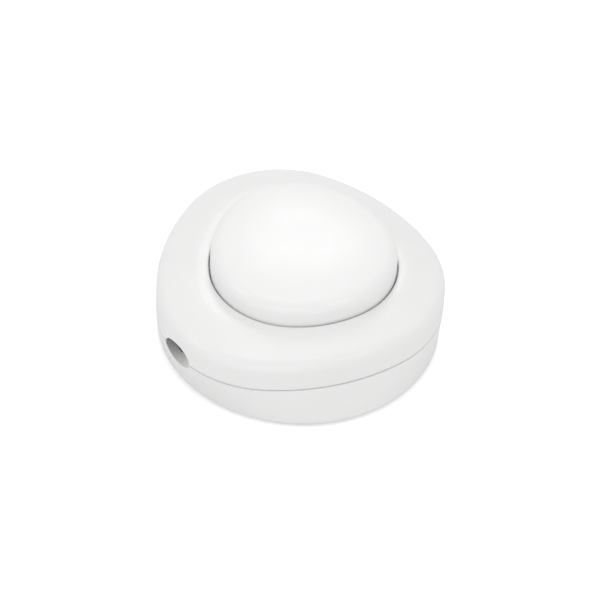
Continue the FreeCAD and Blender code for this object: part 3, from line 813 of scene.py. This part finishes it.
@dataclass
class CordInlets:
    """The passages that take the lamp's cord through both shells."""

    x: float = -21.5 * MM
    radius: float = 3.3 * MM
    wall: float = 1.7 * MM
    start: float = 21.6 * MM
    notch_start: float = 14.4 * MM
    notch_gap: float = 0.3 * MM

    def bore(self) -> bmesh.types.BMesh:
        """Round bar along the cord's line, which cuts both inlets at once.

        Returns:
            The bar, with no edge in the parting plane.
        """
        mesh = turned_solid([(self.radius, -FAR), (self.radius, FAR)], 0.0, 0.0)
        for turn, axis in ((math.pi / SMALL_SEGMENTS, "Z"), (math.pi / 2.0, "X")):
            bmesh.ops.rotate(mesh, cent=ORIGIN, matrix=Matrix.Rotation(turn, 3, axis), verts=mesh.verts)
        bmesh.ops.translate(mesh, vec=(self.x, 0.0, PARTING), verts=mesh.verts)
        return mesh

    def sleeves(self, low: float, high: float) -> list[bmesh.types.BMesh]:
        """Blocks that carry the bore on each side, as long as they may be."""
        half = self.radius + self.wall
        return self._blocks(self.x - half, self.x + half, self.start, low, high)

    def notches(self, low: float, high: float) -> list[bmesh.types.BMesh]:
        """Gaps that the sleeves need in the locating lip."""
        edge = self.x + self.radius + self.wall + self.notch_gap
        return self._blocks(-FAR, edge, self.notch_start, low, high)

    @staticmethod
    def _blocks(left: float, right: float, start: float, low: float, high: float) -> list[bmesh.types.BMesh]:
        """Two blocks that mirror each other across the XZ plane.

        Args:
            left: their low X.
            right: their high X.
            start: how far from the plane they begin.
            low: their foot.
            high: their top.

        Returns:
            The front block and the back one.
        """
        return [block((left, near, low), (right, far, high)) for near, far in ((-FAR, -start), (start, FAR))]


@dataclass
class ScrewPlaces:
    """Where the three housing screws stand."""

    orbit: float = 26.0 * MM
    angles: tuple[float, ...] = (0.0, 110.0, -110.0)

    def all(self) -> list[tuple[float, float]]:
        """X and Y of each screw."""
        return on_circle(self.orbit, self.angles)


@dataclass
class FootPlaces:
    """Where the three rubber feet sit, and how wide and deep their seats are."""

    orbit: float = 24.5 * MM
    angles: tuple[float, ...] = (55.0, 180.0, -55.0)
    seat: float = 4.05 * MM
    seat_top: float = 1.5 * MM

    def all(self) -> list[tuple[float, float]]:
        """X and Y of each foot."""
        return on_circle(self.orbit, self.angles)


@dataclass
class LocatingLip:
    """Lip under the cover that reaches into the lower shell."""

    root_inset: float = 1.4 * MM
    outer: float = 2.7 * MM
    inner: float = 3.7 * MM
    low: float = 9.3 * MM
    seat: float = PARTING + 0.05 * MM
    root: float = 12.5 * MM
    boss_room: float = 4.3 * MM
    boss_room_top: float = PARTING + 2.0 * HAIR

    def build(self, inlets: CordInlets, screws: ScrewPlaces) -> bmesh.types.BMesh:
        """Model the lip, with gaps for the sleeves and the screw bosses below.

        Args:
            inlets: the cord's passages.
            screws: the places of the screw bosses.

        Returns:
            The lip's mesh.
        """
        section = [(self.root_inset, self.seat), (self.root_inset, self.root), (self.inner, self.root),
                   (self.inner, self.low), (self.outer, self.low), (self.outer, self.seat)]
        rings = [staggered(BODY_OUTLINE.level(inset, z)) for inset, z in section]
        gaps = inlets.notches(self.low - MM, self.root + MM)
        gaps += pins(screws.all(), self.boss_room, self.low - MM, self.boss_room_top)
        return carved(sweep_rings(rings, Ends.JOINED), gaps, Cut.DIFFERENCE)


@dataclass
class TopCover:
    """Upper shell: a crowned cover with the button's opening, screw bosses and a locating lip."""

    wall: float = 2.2 * MM
    wall_rows: tuple[float, ...] = (1.0 * MM, 2.2 * MM, 3.4 * MM)
    wall_end: float = 16.0 * MM
    opening_z: float = 19.9 * MM
    ceiling_z: float = 17.9 * MM
    cavity_edge: float = 15.7 * MM
    cavity_inset: float = 7.0 * MM
    gap: float = 0.3 * MM
    rim_round: float = 0.3 * MM
    rim_steps: int = 5
    parting_round: float = 0.15 * MM
    boss: float = 2.8 * MM
    pilot: float = 1.4 * MM
    pilot_top: float = 15.0 * MM
    into_wall: float = 0.8 * MM
    section: CrownedSection = CrownedSection(0.0, 3.15 * MM, 22.0, 6.0, 9.0 * MM, 19.9 * MM)
    shoulder_steps: int = 16
    crown_steps: int = 14
    lip: LocatingLip = field(default_factory=LocatingLip)

    def _rings(self) -> list[RingPlace]:
        """Lay out the cover's whole skin.

        Returns:
            Its rings, from the inner wall's foot round the outside and back.
        """
        foot = rounded_corners([(self.wall, PARTING, 0.0), (0.0, PARTING, self.parting_round),
                                (0.0, self.wall_end, 0.0)])
        wall = [(0.0, PARTING + row) for row in self.wall_rows]
        crown = self.section.points(self.shoulder_steps, self.crown_steps)
        rim = rounded_corners([(-self.gap - MM, self.opening_z, 0.0),
                               (-self.gap, self.opening_z, self.rim_round),
                               (-self.gap, self.ceiling_z, 0.0)], self.rim_steps)
        inner = [(self.cavity_inset, self.ceiling_z), (self.wall, self.cavity_edge)]
        return ([BODY_OUTLINE.level(inset, z) for inset, z in foot[:-1] + wall + crown]
                + [BUTTON_OUTLINE.level(inset, z) for inset, z in rim[1:]]
                + [BODY_OUTLINE.level(inset, z) for inset, z in inner])

    def _room(self) -> list[RingPlace]:
        """Lay out the space under the cover.

        Returns:
            Rings round it, reaching a little into the cover's walls.
        """
        reach, top = self.wall - self.into_wall, self.ceiling_z + self.into_wall
        section = [(reach, PARTING + HAIR), (reach, self.cavity_edge), (self.cavity_inset, top)]
        return [BODY_OUTLINE.level(inset, z) for inset, z in section]

    def build(self, inlets: CordInlets, screws: ScrewPlaces) -> bpy.types.Object:
        """Model the cover.

        Args:
            inlets: the cord's passages.
            screws: the places of the screw bosses.

        Returns:
            The finished cover.
        """
        cover = as_object(sweep_rings(self._rings(), Ends.JOINED), "top_cover_shell")
        below = PARTING - MM
        inside = pins(screws.all(), self.boss, below, self.opening_z + MM)
        inside += inlets.sleeves(below, PARTING + inlets.radius + inlets.wall)
        combine(cover, within(inside, self._room()) + [self.lip.build(inlets, screws)], Cut.UNION)
        pilots = pins(screws.all(), self.pilot, below, self.pilot_top)
        combine(cover, pilots + [inlets.bore()], Cut.DIFFERENCE)
        return finish_piece(cover, "top_cover", "housing_white")


@dataclass
class TerminalCradles:
    """Raised pads with low walls that locate the three terminals."""

    x: float = -14.4 * MM
    half_x: float = 2.4 * MM
    half_y: float = 12.0 * MM
    wall: float = 1.0 * MM
    fit: float = 0.1 * MM
    top: float = 6.1 * MM
    lead_z: float = 5.2 * MM
    pads: tuple[tuple[float, float, float], ...] = (
        (-9.5 * MM, 2.5 * MM, 3.7 * MM), (9.5 * MM, 2.5 * MM, 3.7 * MM), (0.0, 5.5 * MM, 4.1 * MM))

    def build(self, low: float) -> bmesh.types.BMesh:
        """Model the cradles as one block with a seat and an opening for each terminal.

        Args:
            low: where the block's foot lies.

        Returns:
            The block's mesh.
        """
        side, end, far = self.half_y + self.fit + self.wall, self.x + self.half_x, 2.0 * self.half_x
        gaps = []
        for y, half_y, pad_top in self.pads:
            reach = half_y + self.fit
            gaps.append(block((self.x - self.half_x, y - reach, pad_top),
                              (self.x + far, y + reach, 2.0 * self.top)))
            reach -= HAIR
            gaps.append(block((self.x - far, y - reach, self.lead_z), (self.x, y + reach, 3.0 * self.top)))
        whole = block((self.x - self.half_x - self.wall, -side, low), (end, side, self.top))
        return carved(whole, gaps, Cut.DIFFERENCE)


@dataclass
class BaseShell:
    """Lower shell: round underneath and a rounded triangle at the parting line."""

    floor: LobedOutline = LobedOutline(31.2 * MM)
    underside: float = 0.5 * MM
    bottom_round: float = 0.9 * MM
    bottom_steps: int = 8
    wall: float = 2.2 * MM
    floor_top: float = 2.5 * MM
    groove: float = 0.3 * MM
    groove_depth: float = 0.9 * MM
    groove_round: float = 0.12 * MM
    groove_steps: int = 3
    wall_steps: int = 12
    into_wall: float = 0.8 * MM
    boss: float = 3.8 * MM
    hole: float = 1.6 * MM
    counterbore: float = 2.8 * MM
    counterbore_top: float = 4.5 * MM
    clamp_posts: tuple[tuple[float, float], ...] = ((-15.3 * MM, -19.0 * MM), (-15.3 * MM, 19.0 * MM))
    post: float = 2.3 * MM
    post_top: float = 11.2 * MM
    post_pilot_low: float = 7.8 * MM
    ear_orbit: float = 13.2 * MM
    ear_angles: tuple[float, ...] = (55.0, -55.0)
    ear: float = 2.6 * MM
    ear_top: float = 6.5 * MM
    ear_pilot_low: float = 3.1 * MM
    pilot: float = 1.1 * MM
    cradles: TerminalCradles = field(default_factory=TerminalCradles)
    feet: FootPlaces = field(default_factory=FootPlaces)

    def _rings(self) -> list[RingPlace]:
        """Lay out the shell's whole skin.

        Returns:
            Its rings, from the underside round the wall to the floor inside.
        """
        low, groove_low = self.underside + self.bottom_round, PARTING - self.groove
        start, end = self.floor.level(0.0, low), BODY_OUTLINE.level(0.0, PARTING)
        share = (groove_low - self.groove_round - low) / (PARTING - low)
        bottom = arc_section((self.bottom_round, low), self.bottom_round, 270.0, 180.0, self.bottom_steps)
        edge = arc_section((self.groove_round, groove_low - self.groove_round), self.groove_round,
                           180.0, 90.0, self.groove_steps)
        groove = [(self.groove_depth, groove_low), (self.groove_depth, PARTING), (self.wall, PARTING)]
        return ([self.floor.level(inset, z) for inset, z in bottom]
                + [between(start, end, share * step / self.wall_steps)
                   for step in range(1, self.wall_steps + 1)]
                + [BODY_OUTLINE.level(inset, z) for inset, z in edge[1:] + groove]
                + [self.floor.level(self.wall, self.floor_top)])

    def _room(self) -> list[RingPlace]:
        """Rings round the space inside the shell, reaching a little into its walls."""
        reach, low = self.wall - self.into_wall, self.floor_top - self.into_wall
        return [self.floor.level(reach, low), BODY_OUTLINE.level(reach, PARTING - HAIR)]

    def build(self, inlets: CordInlets, screws: ScrewPlaces) -> bpy.types.Object:
        """Model the lower shell.

        Args:
            inlets: the cord's passages.
            screws: the places of the counterbores.

        Returns:
            The finished shell.
        """
        base = as_object(sweep_rings(self._rings(), Ends.CAPPED), "base_shell_body")
        low, below, above = self.floor_top - self.into_wall, self.underside - MM, PARTING + MM
        ears = on_circle(self.ear_orbit, self.ear_angles)
        inside = inlets.sleeves(low - MM, above) + pins(screws.all(), self.boss, low - MM, above)
        posts = pins(self.clamp_posts, self.post, low, self.post_top)
        posts += pins(ears, self.ear, low, self.ear_top)
        combine(base, within(inside, self._room()) + posts + [self.cradles.build(low)], Cut.UNION)
        cuts = pins(screws.all(), self.hole, below, above)
        cuts += pins(screws.all(), self.counterbore, below, self.counterbore_top)
        cuts += pins(self.feet.all(), self.feet.seat, below, self.feet.seat_top)
        cuts += pins(self.clamp_posts, self.pilot, self.post_pilot_low, self.post_top + 0.8 * MM)
        cuts += pins(ears, self.pilot, self.ear_pilot_low, self.ear_top + 0.5 * MM)
        combine(base, cuts + [inlets.bore()], Cut.DIFFERENCE)
        return finish_piece(base, "base_shell", "housing_white")


@dataclass
class PushButton:
    """Domed button with its side wall, its retaining flange and the two sockets under its crown."""

    wall: float = 1.6 * MM
    skirt_z: float = 16.7 * MM
    flange_top: float = 17.8 * MM
    flange_width: float = 1.2 * MM
    side_rows: tuple[float, ...] = (19.5 * MM, 21.0 * MM)
    outside: CrownedSection = CrownedSection(0.0, 3.0 * MM, 11.0, 0.0, 15.0 * MM, 26.9 * MM)
    hollow: CrownedSection = CrownedSection(1.6 * MM, 1.4 * MM, 11.0, 0.0, 15.0 * MM, 25.3 * MM)
    into_crown: float = 26.0 * MM
    spring_radii: tuple[float, float, float] = (10.2 * MM, 7.8 * MM, 6.6 * MM)
    spring_seat: float = 24.2 * MM
    spring_guide_low: float = 23.0 * MM
    socket_radii: tuple[float, float] = (5.0 * MM, 3.5 * MM)
    socket_low: float = 19.778 * MM

    def _tubes(self) -> list[bmesh.types.BMesh]:
        """Model what stands under the crown.

        Returns:
            The stepped ring that seats the spring, and the plunger's socket.
        """
        wide, guide, narrow = self.spring_radii
        outer, inner = self.socket_radii
        seat = [(wide, self.spring_seat), (wide, self.into_crown), (narrow, self.into_crown),
                (narrow, self.spring_guide_low), (guide, self.spring_guide_low), (guide, self.spring_seat)]
        socket = [(outer, self.socket_low), (outer, self.into_crown),
                  (inner, self.into_crown), (inner, self.socket_low)]
        return [turned_solid(section, 0.0, 0.0, Ends.JOINED) for section in (seat, socket)]

    def build(self) -> bpy.types.Object:
        """Model the button.

        Returns:
            The finished button.
        """
        inner = [(self.wall, self.skirt_z)] + self.hollow.points(8, 10)
        outer = [(-self.flange_width, self.skirt_z), (-self.flange_width, self.flange_top),
                 (0.0, self.flange_top)] + [(0.0, row) for row in self.side_rows]
        outer += self.outside.points(16, 20)
        rings = [BUTTON_OUTLINE.level(inset, z) for inset, z in list(reversed(inner)) + outer]
        button = as_object(sweep_rings(rings, Ends.CAPPED), "push_button_dome")
        combine(button, self._tubes(), Cut.UNION)
        return finish_piece(button, "push_button", "button_white")


# Inner pieces

@dataclass
class ButtonSpring:
    """Compression spring between the guide cap and the button.

    Args:
        radius: from the axis to the middle of the wire.
        wire: the wire's radius.
        low: where the spring's foot stands.
        high: where its top ends.
        turns: how often it goes round.
        travel: how far the button presses it together; not used.
        sides: how many sides the wire has.
        steps_a_turn: how many steps one turn has.
    """

    radius: float = 9.0 * MM
    wire: float = 0.6 * MM
    low: float = 14.578 * MM
    high: float = 24.2 * MM
    turns: float = 3.6
    travel: float = 3.5 * MM
    sides: int = 16
    steps_a_turn: int = 56

    def build(self) -> bpy.types.Object:
        """Spin a wire's end round the axis while it climbs.

        Returns:
            The finished spring.
        """
        mesh = bmesh.new()
        face = bmesh.ops.create_circle(mesh, cap_ends=True, segments=self.sides, radius=self.wire)
        bmesh.ops.rotate(mesh, cent=ORIGIN, matrix=Matrix.Rotation(math.pi / 2.0, 3, "X"),
                         verts=face["verts"])
        bmesh.ops.translate(mesh, vec=(self.radius, 0.0, self.low + self.wire), verts=mesh.verts)
        steps = round(self.steps_a_turn * self.turns)
        rise = (self.high - self.low - 2.0 * self.wire) / steps
        bmesh.ops.spin(mesh, geom=mesh.faces[:] + mesh.edges[:] + mesh.verts[:], cent=ORIGIN, axis=UP,
                       dvec=UP * rise, angle=math.radians(360.0) * self.turns, steps=steps,
                       use_duplicate=False)
        bmesh.ops.recalc_face_normals(mesh, faces=mesh.faces)
        spring = finish_piece(as_object(mesh, "button_spring_coil"), "button_spring", "steel")
        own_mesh(spring)
        return spring


@dataclass
class ScrewSet:
    """Screws of one kind, with a ringed thread, a domed head and a driver's recess.

    Args:
        node: the CAD node that gives their places and lengths.
        radius: the shank's radius.
        head: the head's radius.
        head_tall: how tall the head is.
        up: 1 for a head that faces up and -1 for one that faces down.
        cross: whether the recess is a cross, or else a slot.
        deep: how deep the recess is.
        reach: how far the recess reaches from the middle.
        pitch: how far apart the thread's rings are.
        thread: how deep they are.
        slot: half of the recess's width.
        head_steps: how many runs the head's dome has.
    """

    node: str
    radius: float
    head: float
    head_tall: float
    up: float = 1.0
    cross: bool = True
    deep: float = 0.8 * MM
    reach: float = 1.4 * MM
    pitch: float = 0.6 * MM
    thread: float = 0.17 * MM
    slot: float = 0.4 * MM
    head_steps: int = 8

    def _section(self, length: float) -> list[tuple[float, float]]:
        """Outline of one screw, from its point to the middle of its head.

        Args:
            length: how long the shank is.

        Returns:
            Radius and height above the seat, in order.
        """
        core, point = self.radius - self.thread, 0.7 * self.radius
        section = [(0.3 * self.radius, -length), (core, point - length)]
        for turn in range(int((length - point - self.pitch) / self.pitch)):
            low = point - length + turn * self.pitch
            section += [(self.radius, low + 0.5 * self.pitch), (core, low + self.pitch)]
        section += [(self.radius, section[-1][1] + 0.3 * self.pitch), (self.radius, 0.0), (self.head, 0.0)]
        wide, tall = 0.5 * self.head, 0.6 * self.head_tall
        for step in range(self.head_steps + 1):
            angle = math.radians(90.0 * step / self.head_steps)
            section.append((self.head - wide + wide * math.cos(angle),
                            self.head_tall - tall + tall * math.sin(angle)))
        return section

    def build(self) -> bpy.types.Object:
        """Turn the screws and cut their recesses.

        Returns:
            The finished screws.
        """
        screws, recesses = [], []
        for low, high in solids_of(self.node):
            middle, top = (low + high) / 2.0, high.z if self.up > 0.0 else low.z
            seat = top - self.up * self.head_tall
            section = [(radius, seat + self.up * height)
                       for radius, height in self._section(high.z - low.z - self.head_tall)]
            screws.append(turned_solid(section, middle.x, middle.y))
            ends = sorted((top - self.up * self.deep, top + self.up * self.deep))
            arms = [(self.slot, self.reach), (self.reach, self.slot)][:2 if self.cross else 1]
            recesses += [block((middle.x - x, middle.y - y, ends[0]), (middle.x + x, middle.y + y, ends[1]))
                         for x, y in arms]
        made = as_object(gathered(screws), self.node + "_turned")
        combine(made, recesses, Cut.DIFFERENCE)
        return finish_piece(made, self.node, SLOT_OF[self.node])


@dataclass
class RubberFeet:
    """Round feet with a rounded edge and a small dimple underneath."""

    radius: float = 4.0 * MM
    edge: float = 0.4 * MM
    dimple: float = 1.6 * MM
    dimple_deep: float = 0.2 * MM

    def build(self) -> bpy.types.Object:
        """Turn the feet.

        Returns:
            The finished feet.
        """
        feet = []
        for low, high in solids_of("rubber_feet"):
            middle = (low + high) / 2.0
            edge = arc_section((self.radius - self.edge, self.edge), self.edge, 270.0, 360.0, 6)
            dimple = [(0.6 * self.dimple, self.dimple_deep), (self.dimple, 0.0)]
            section = dimple + edge + [(self.radius, high.z)]
            feet.append(turned_solid(section, middle.x, middle.y))
        return finish_piece(as_object(gathered(feet), "rubber_feet_turned"), "rubber_feet", "rubber")


@dataclass
class ContactRivets:
    """Silver rivets with domed faces."""

    radius: float = 1.1 * MM
    rim: float = 0.2 * MM
    dome_steps: int = 8
    dome_end: float = 88.0

    def build(self) -> bpy.types.Object:
        """Turn the rivets.

        Returns:
            The finished rivets.
        """
        rivets = []
        for low, high in solids_of("contact_rivets"):
            middle, tall = (low + high) / 2.0, high.z - low.z - self.rim
            section = [(self.radius, low.z)]
            for step in range(self.dome_steps + 1):
                angle = math.radians(self.dome_end * step / self.dome_steps)
                section.append((self.radius * math.cos(angle), low.z + self.rim + tall * math.sin(angle)))
            rivets.append(turned_solid(section, middle.x, middle.y))
        return finish_piece(as_object(gathered(rivets), "contact_rivets_turned"), "contact_rivets", "silver")


@dataclass
class SoftenedCopy:
    """Merged copy of a CAD node with its flat faces restored and its edges softened.

    Args:
        node: the CAD node that is copied.
        edge: how wide the softened edges are, or 0 to leave them.
    """

    node: str
    edge: float = 0.0

    FLAT = math.radians(0.5)

    def build(self) -> bpy.types.Object:
        """Copy, merge and soften the node.

        Returns:
            The finished copy.
        """
        mesh = bmesh.new()
        mesh.from_mesh(frame["nodes"][self.node].data)
        bmesh.ops.remove_doubles(mesh, verts=mesh.verts, dist=LOOSE_DOUBLED)
        if self.edge:
            bmesh.ops.dissolve_limit(mesh, angle_limit=self.FLAT, verts=mesh.verts, edges=mesh.edges)
            sharp = [edge for edge in mesh.edges
                     if edge.is_manifold and edge.calc_face_angle() > SMOOTH_ANGLE]
            bmesh.ops.bevel(mesh, geom=sharp, offset=self.edge, offset_type="OFFSET", segments=2, profile=0.5,
                            affect="EDGES", clamp_overlap=True, material=-1)
        copy = as_object(mesh, self.node + "_softened")
        return finish_piece(copy, self.node, SLOT_OF[self.node])


# Studio

@dataclass(frozen=True)
class Softbox:
    """Square lamp that faces the object.

    Args:
        name: the lamp's name.
        place: where it hangs.
        side: how wide it is.
        power: how strong it is, in watts.
    """

    name: str
    place: Triple
    side: float
    power: float

    def hang(self, aim: Vector) -> None:
        """Hang the lamp.

        Args:
            aim: the point that it faces.
        """
        data = bpy.data.lights.new(self.name, "AREA")
        data.shape = "SQUARE"
        data.size = self.side
        data.energy = self.power
        lamp = bpy.data.objects.new(self.name, data)
        lamp.location = self.place
        lamp.rotation_mode = "QUATERNION"
        lamp.rotation_quaternion = (aim - Vector(self.place)).to_track_quat("-Z", "Y")
        bpy.context.scene.collection.objects.link(lamp)


@dataclass
class Studio:
    """Floor, soft light and the camera."""

    azimuth: float = 10.3
    elevation: float = 44.5
    roll: float = 3.2
    distance: float = 0.88
    lens: float = 240.0
    aim: Vector = field(default_factory=lambda: Vector((-1.2 * MM, 0.0, 10.5 * MM)))
    aim_right: float = 1.32 * MM
    aim_down: float = 1.98 * MM
    floor_side: float = 6.0
    floor_z: float = -0.05 * MM
    paper: float = 0.86
    paper_glow: float = 0.35
    room_level: float = 0.76
    seen_level: float = 1.0
    lamps: tuple[Softbox, ...] = (Softbox("back_softbox", (-0.13, 0.7, 0.72), 0.3, 1.3),
                                  Softbox("overhead_softbox", (0.0, 0.0, 1.0), 0.6, 1.2),
                                  Softbox("left_softbox", (-0.8, -0.45, 0.6), 0.25, 0.9),
                                  Softbox("right_softbox", (0.85, -0.55, 0.6), 0.25, 0.9),
                                  Softbox("front_softbox", (0.15, -1.0, 0.25), 0.5, 1.0))

    WHITE = (1.0, 1.0, 1.0)

    def place_camera(self) -> None:
        """Stand the camera at the photograph's angle."""
        a, e = math.radians(self.azimuth), math.radians(self.elevation)
        back = Vector((math.sin(a) * math.cos(e), -math.cos(a) * math.cos(e), math.sin(e)))
        turn = (-back).to_track_quat("-Z", "Y")
        right, up = turn @ Vector((1.0, 0.0, 0.0)), turn @ Vector((0.0, 1.0, 0.0))
        target = self.aim + right * self.aim_right - up * self.aim_down
        camera = bpy.data.objects.new("camera", bpy.data.cameras.new("camera"))
        camera.data.lens = self.lens
        camera.data.sensor_width = 36.0
        camera.data.clip_start, camera.data.clip_end = 0.01, 20.0
        camera.rotation_mode = "QUATERNION"
        camera.location = target + back * self.distance
        camera.rotation_quaternion = turn @ Quaternion(UP, math.radians(self.roll))
        bpy.context.scene.collection.objects.link(camera)
        bpy.context.scene.camera = camera

    def lay_floor(self) -> None:
        """Lay a pale floor that the camera sees as white apart from the object's shadow."""
        mesh = bmesh.new()
        bmesh.ops.create_grid(mesh, x_segments=1, y_segments=1, size=self.floor_side / 2.0)
        bmesh.ops.translate(mesh, vec=UP * self.floor_z, verts=mesh.verts)
        floor = as_object(mesh, "studio_floor")
        material, graph = new_material("floor_paper")
        paper = graph.node("ShaderNodeBsdfDiffuse", {}, {"Color": shaded(self.WHITE, self.paper)})
        glow = graph.node("ShaderNodeEmission", {},
                          {"Color": opaque(self.WHITE), "Strength": self.paper_glow})
        seen = graph.node("ShaderNodeLightPath", out="Is Camera Ray")
        lit = graph.node("ShaderNodeAddShader", {}, {0: paper, 1: glow})
        surface = graph.node("ShaderNodeMixShader", {}, {0: seen, 1: paper, 2: lit})
        graph.node("ShaderNodeOutputMaterial", {}, {"Surface": surface})
        floor.data.materials.append(material)

    def light_world(self) -> None:
        """Light the room evenly, and white where the camera looks past the floor."""
        world = bpy.data.worlds.new("studio_world")
        world.use_nodes = True
        graph = Graph(world.node_tree)
        seen = graph.node("ShaderNodeLightPath", out="Is Camera Ray")
        room, white = [graph.node("ShaderNodeBackground", {}, {"Color": opaque(self.WHITE),
                                  "Strength": level})
                       for level in (self.room_level, self.seen_level)]
        surface = graph.node("ShaderNodeMixShader", {}, {0: seen, 1: room, 2: white})
        graph.node("ShaderNodeOutputWorld", {}, {"Surface": surface})
        bpy.context.scene.world = world

    def build(self) -> None:
        """Set up the whole studio."""
        bpy.context.scene.view_settings.view_transform = "Standard"
        self.lay_floor()
        self.light_world()
        for lamp in self.lamps:
            lamp.hang(self.aim)
        self.place_camera()


SCREWS = (ScrewSet("terminal_screws", 1.4 * MM, 1.4 * MM, 0.3 * MM, cross=False, deep=0.6 * MM),
          ScrewSet("clamp_screws", 1.1 * MM, 2.0 * MM, 1.3 * MM),
          ScrewSet("frame_screws", 1.1 * MM, 2.0 * MM, 1.3 * MM),
          ScrewSet("housing_screws", 1.4 * MM, 2.5 * MM, 1.8 * MM, up=-1.0, deep=0.9 * MM, reach=1.75 * MM))
BEVELLED = {"live_in_terminal": 0.15 * MM, "live_out_terminal": 0.15 * MM, "neutral_terminal": 0.15 * MM,
            "cord_clamp_front": 0.2 * MM, "cord_clamp_back": 0.2 * MM, "contact_bridge": 0.08 * MM}


def main() -> None:
    """Build every piece, then the studio."""
    logging.basicConfig(level=logging.INFO, format="%(message)s")
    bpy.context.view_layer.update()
    for finish in FINISHES.values():
        finish.build()
    inlets, screws = CordInlets(), ScrewPlaces()
    TopCover().build(inlets, screws)
    BaseShell().build(inlets, screws)
    PushButton().build()
    ButtonSpring().build()
    RubberFeet().build()
    ContactRivets().build()
    for screw_set in SCREWS:
        screw_set.build()
    rebuilt = {"top_cover", "base_shell", "push_button", "button_spring", "rubber_feet", "contact_rivets"}
    rebuilt.update(screw_set.node for screw_set in SCREWS)
    for node in frame["nodes"]:
        if node not in rebuilt:
            SoftenedCopy(node, BEVELLED.get(node, 0.0)).build()
    Studio().build()


if __name__ == "__main__":
    main()
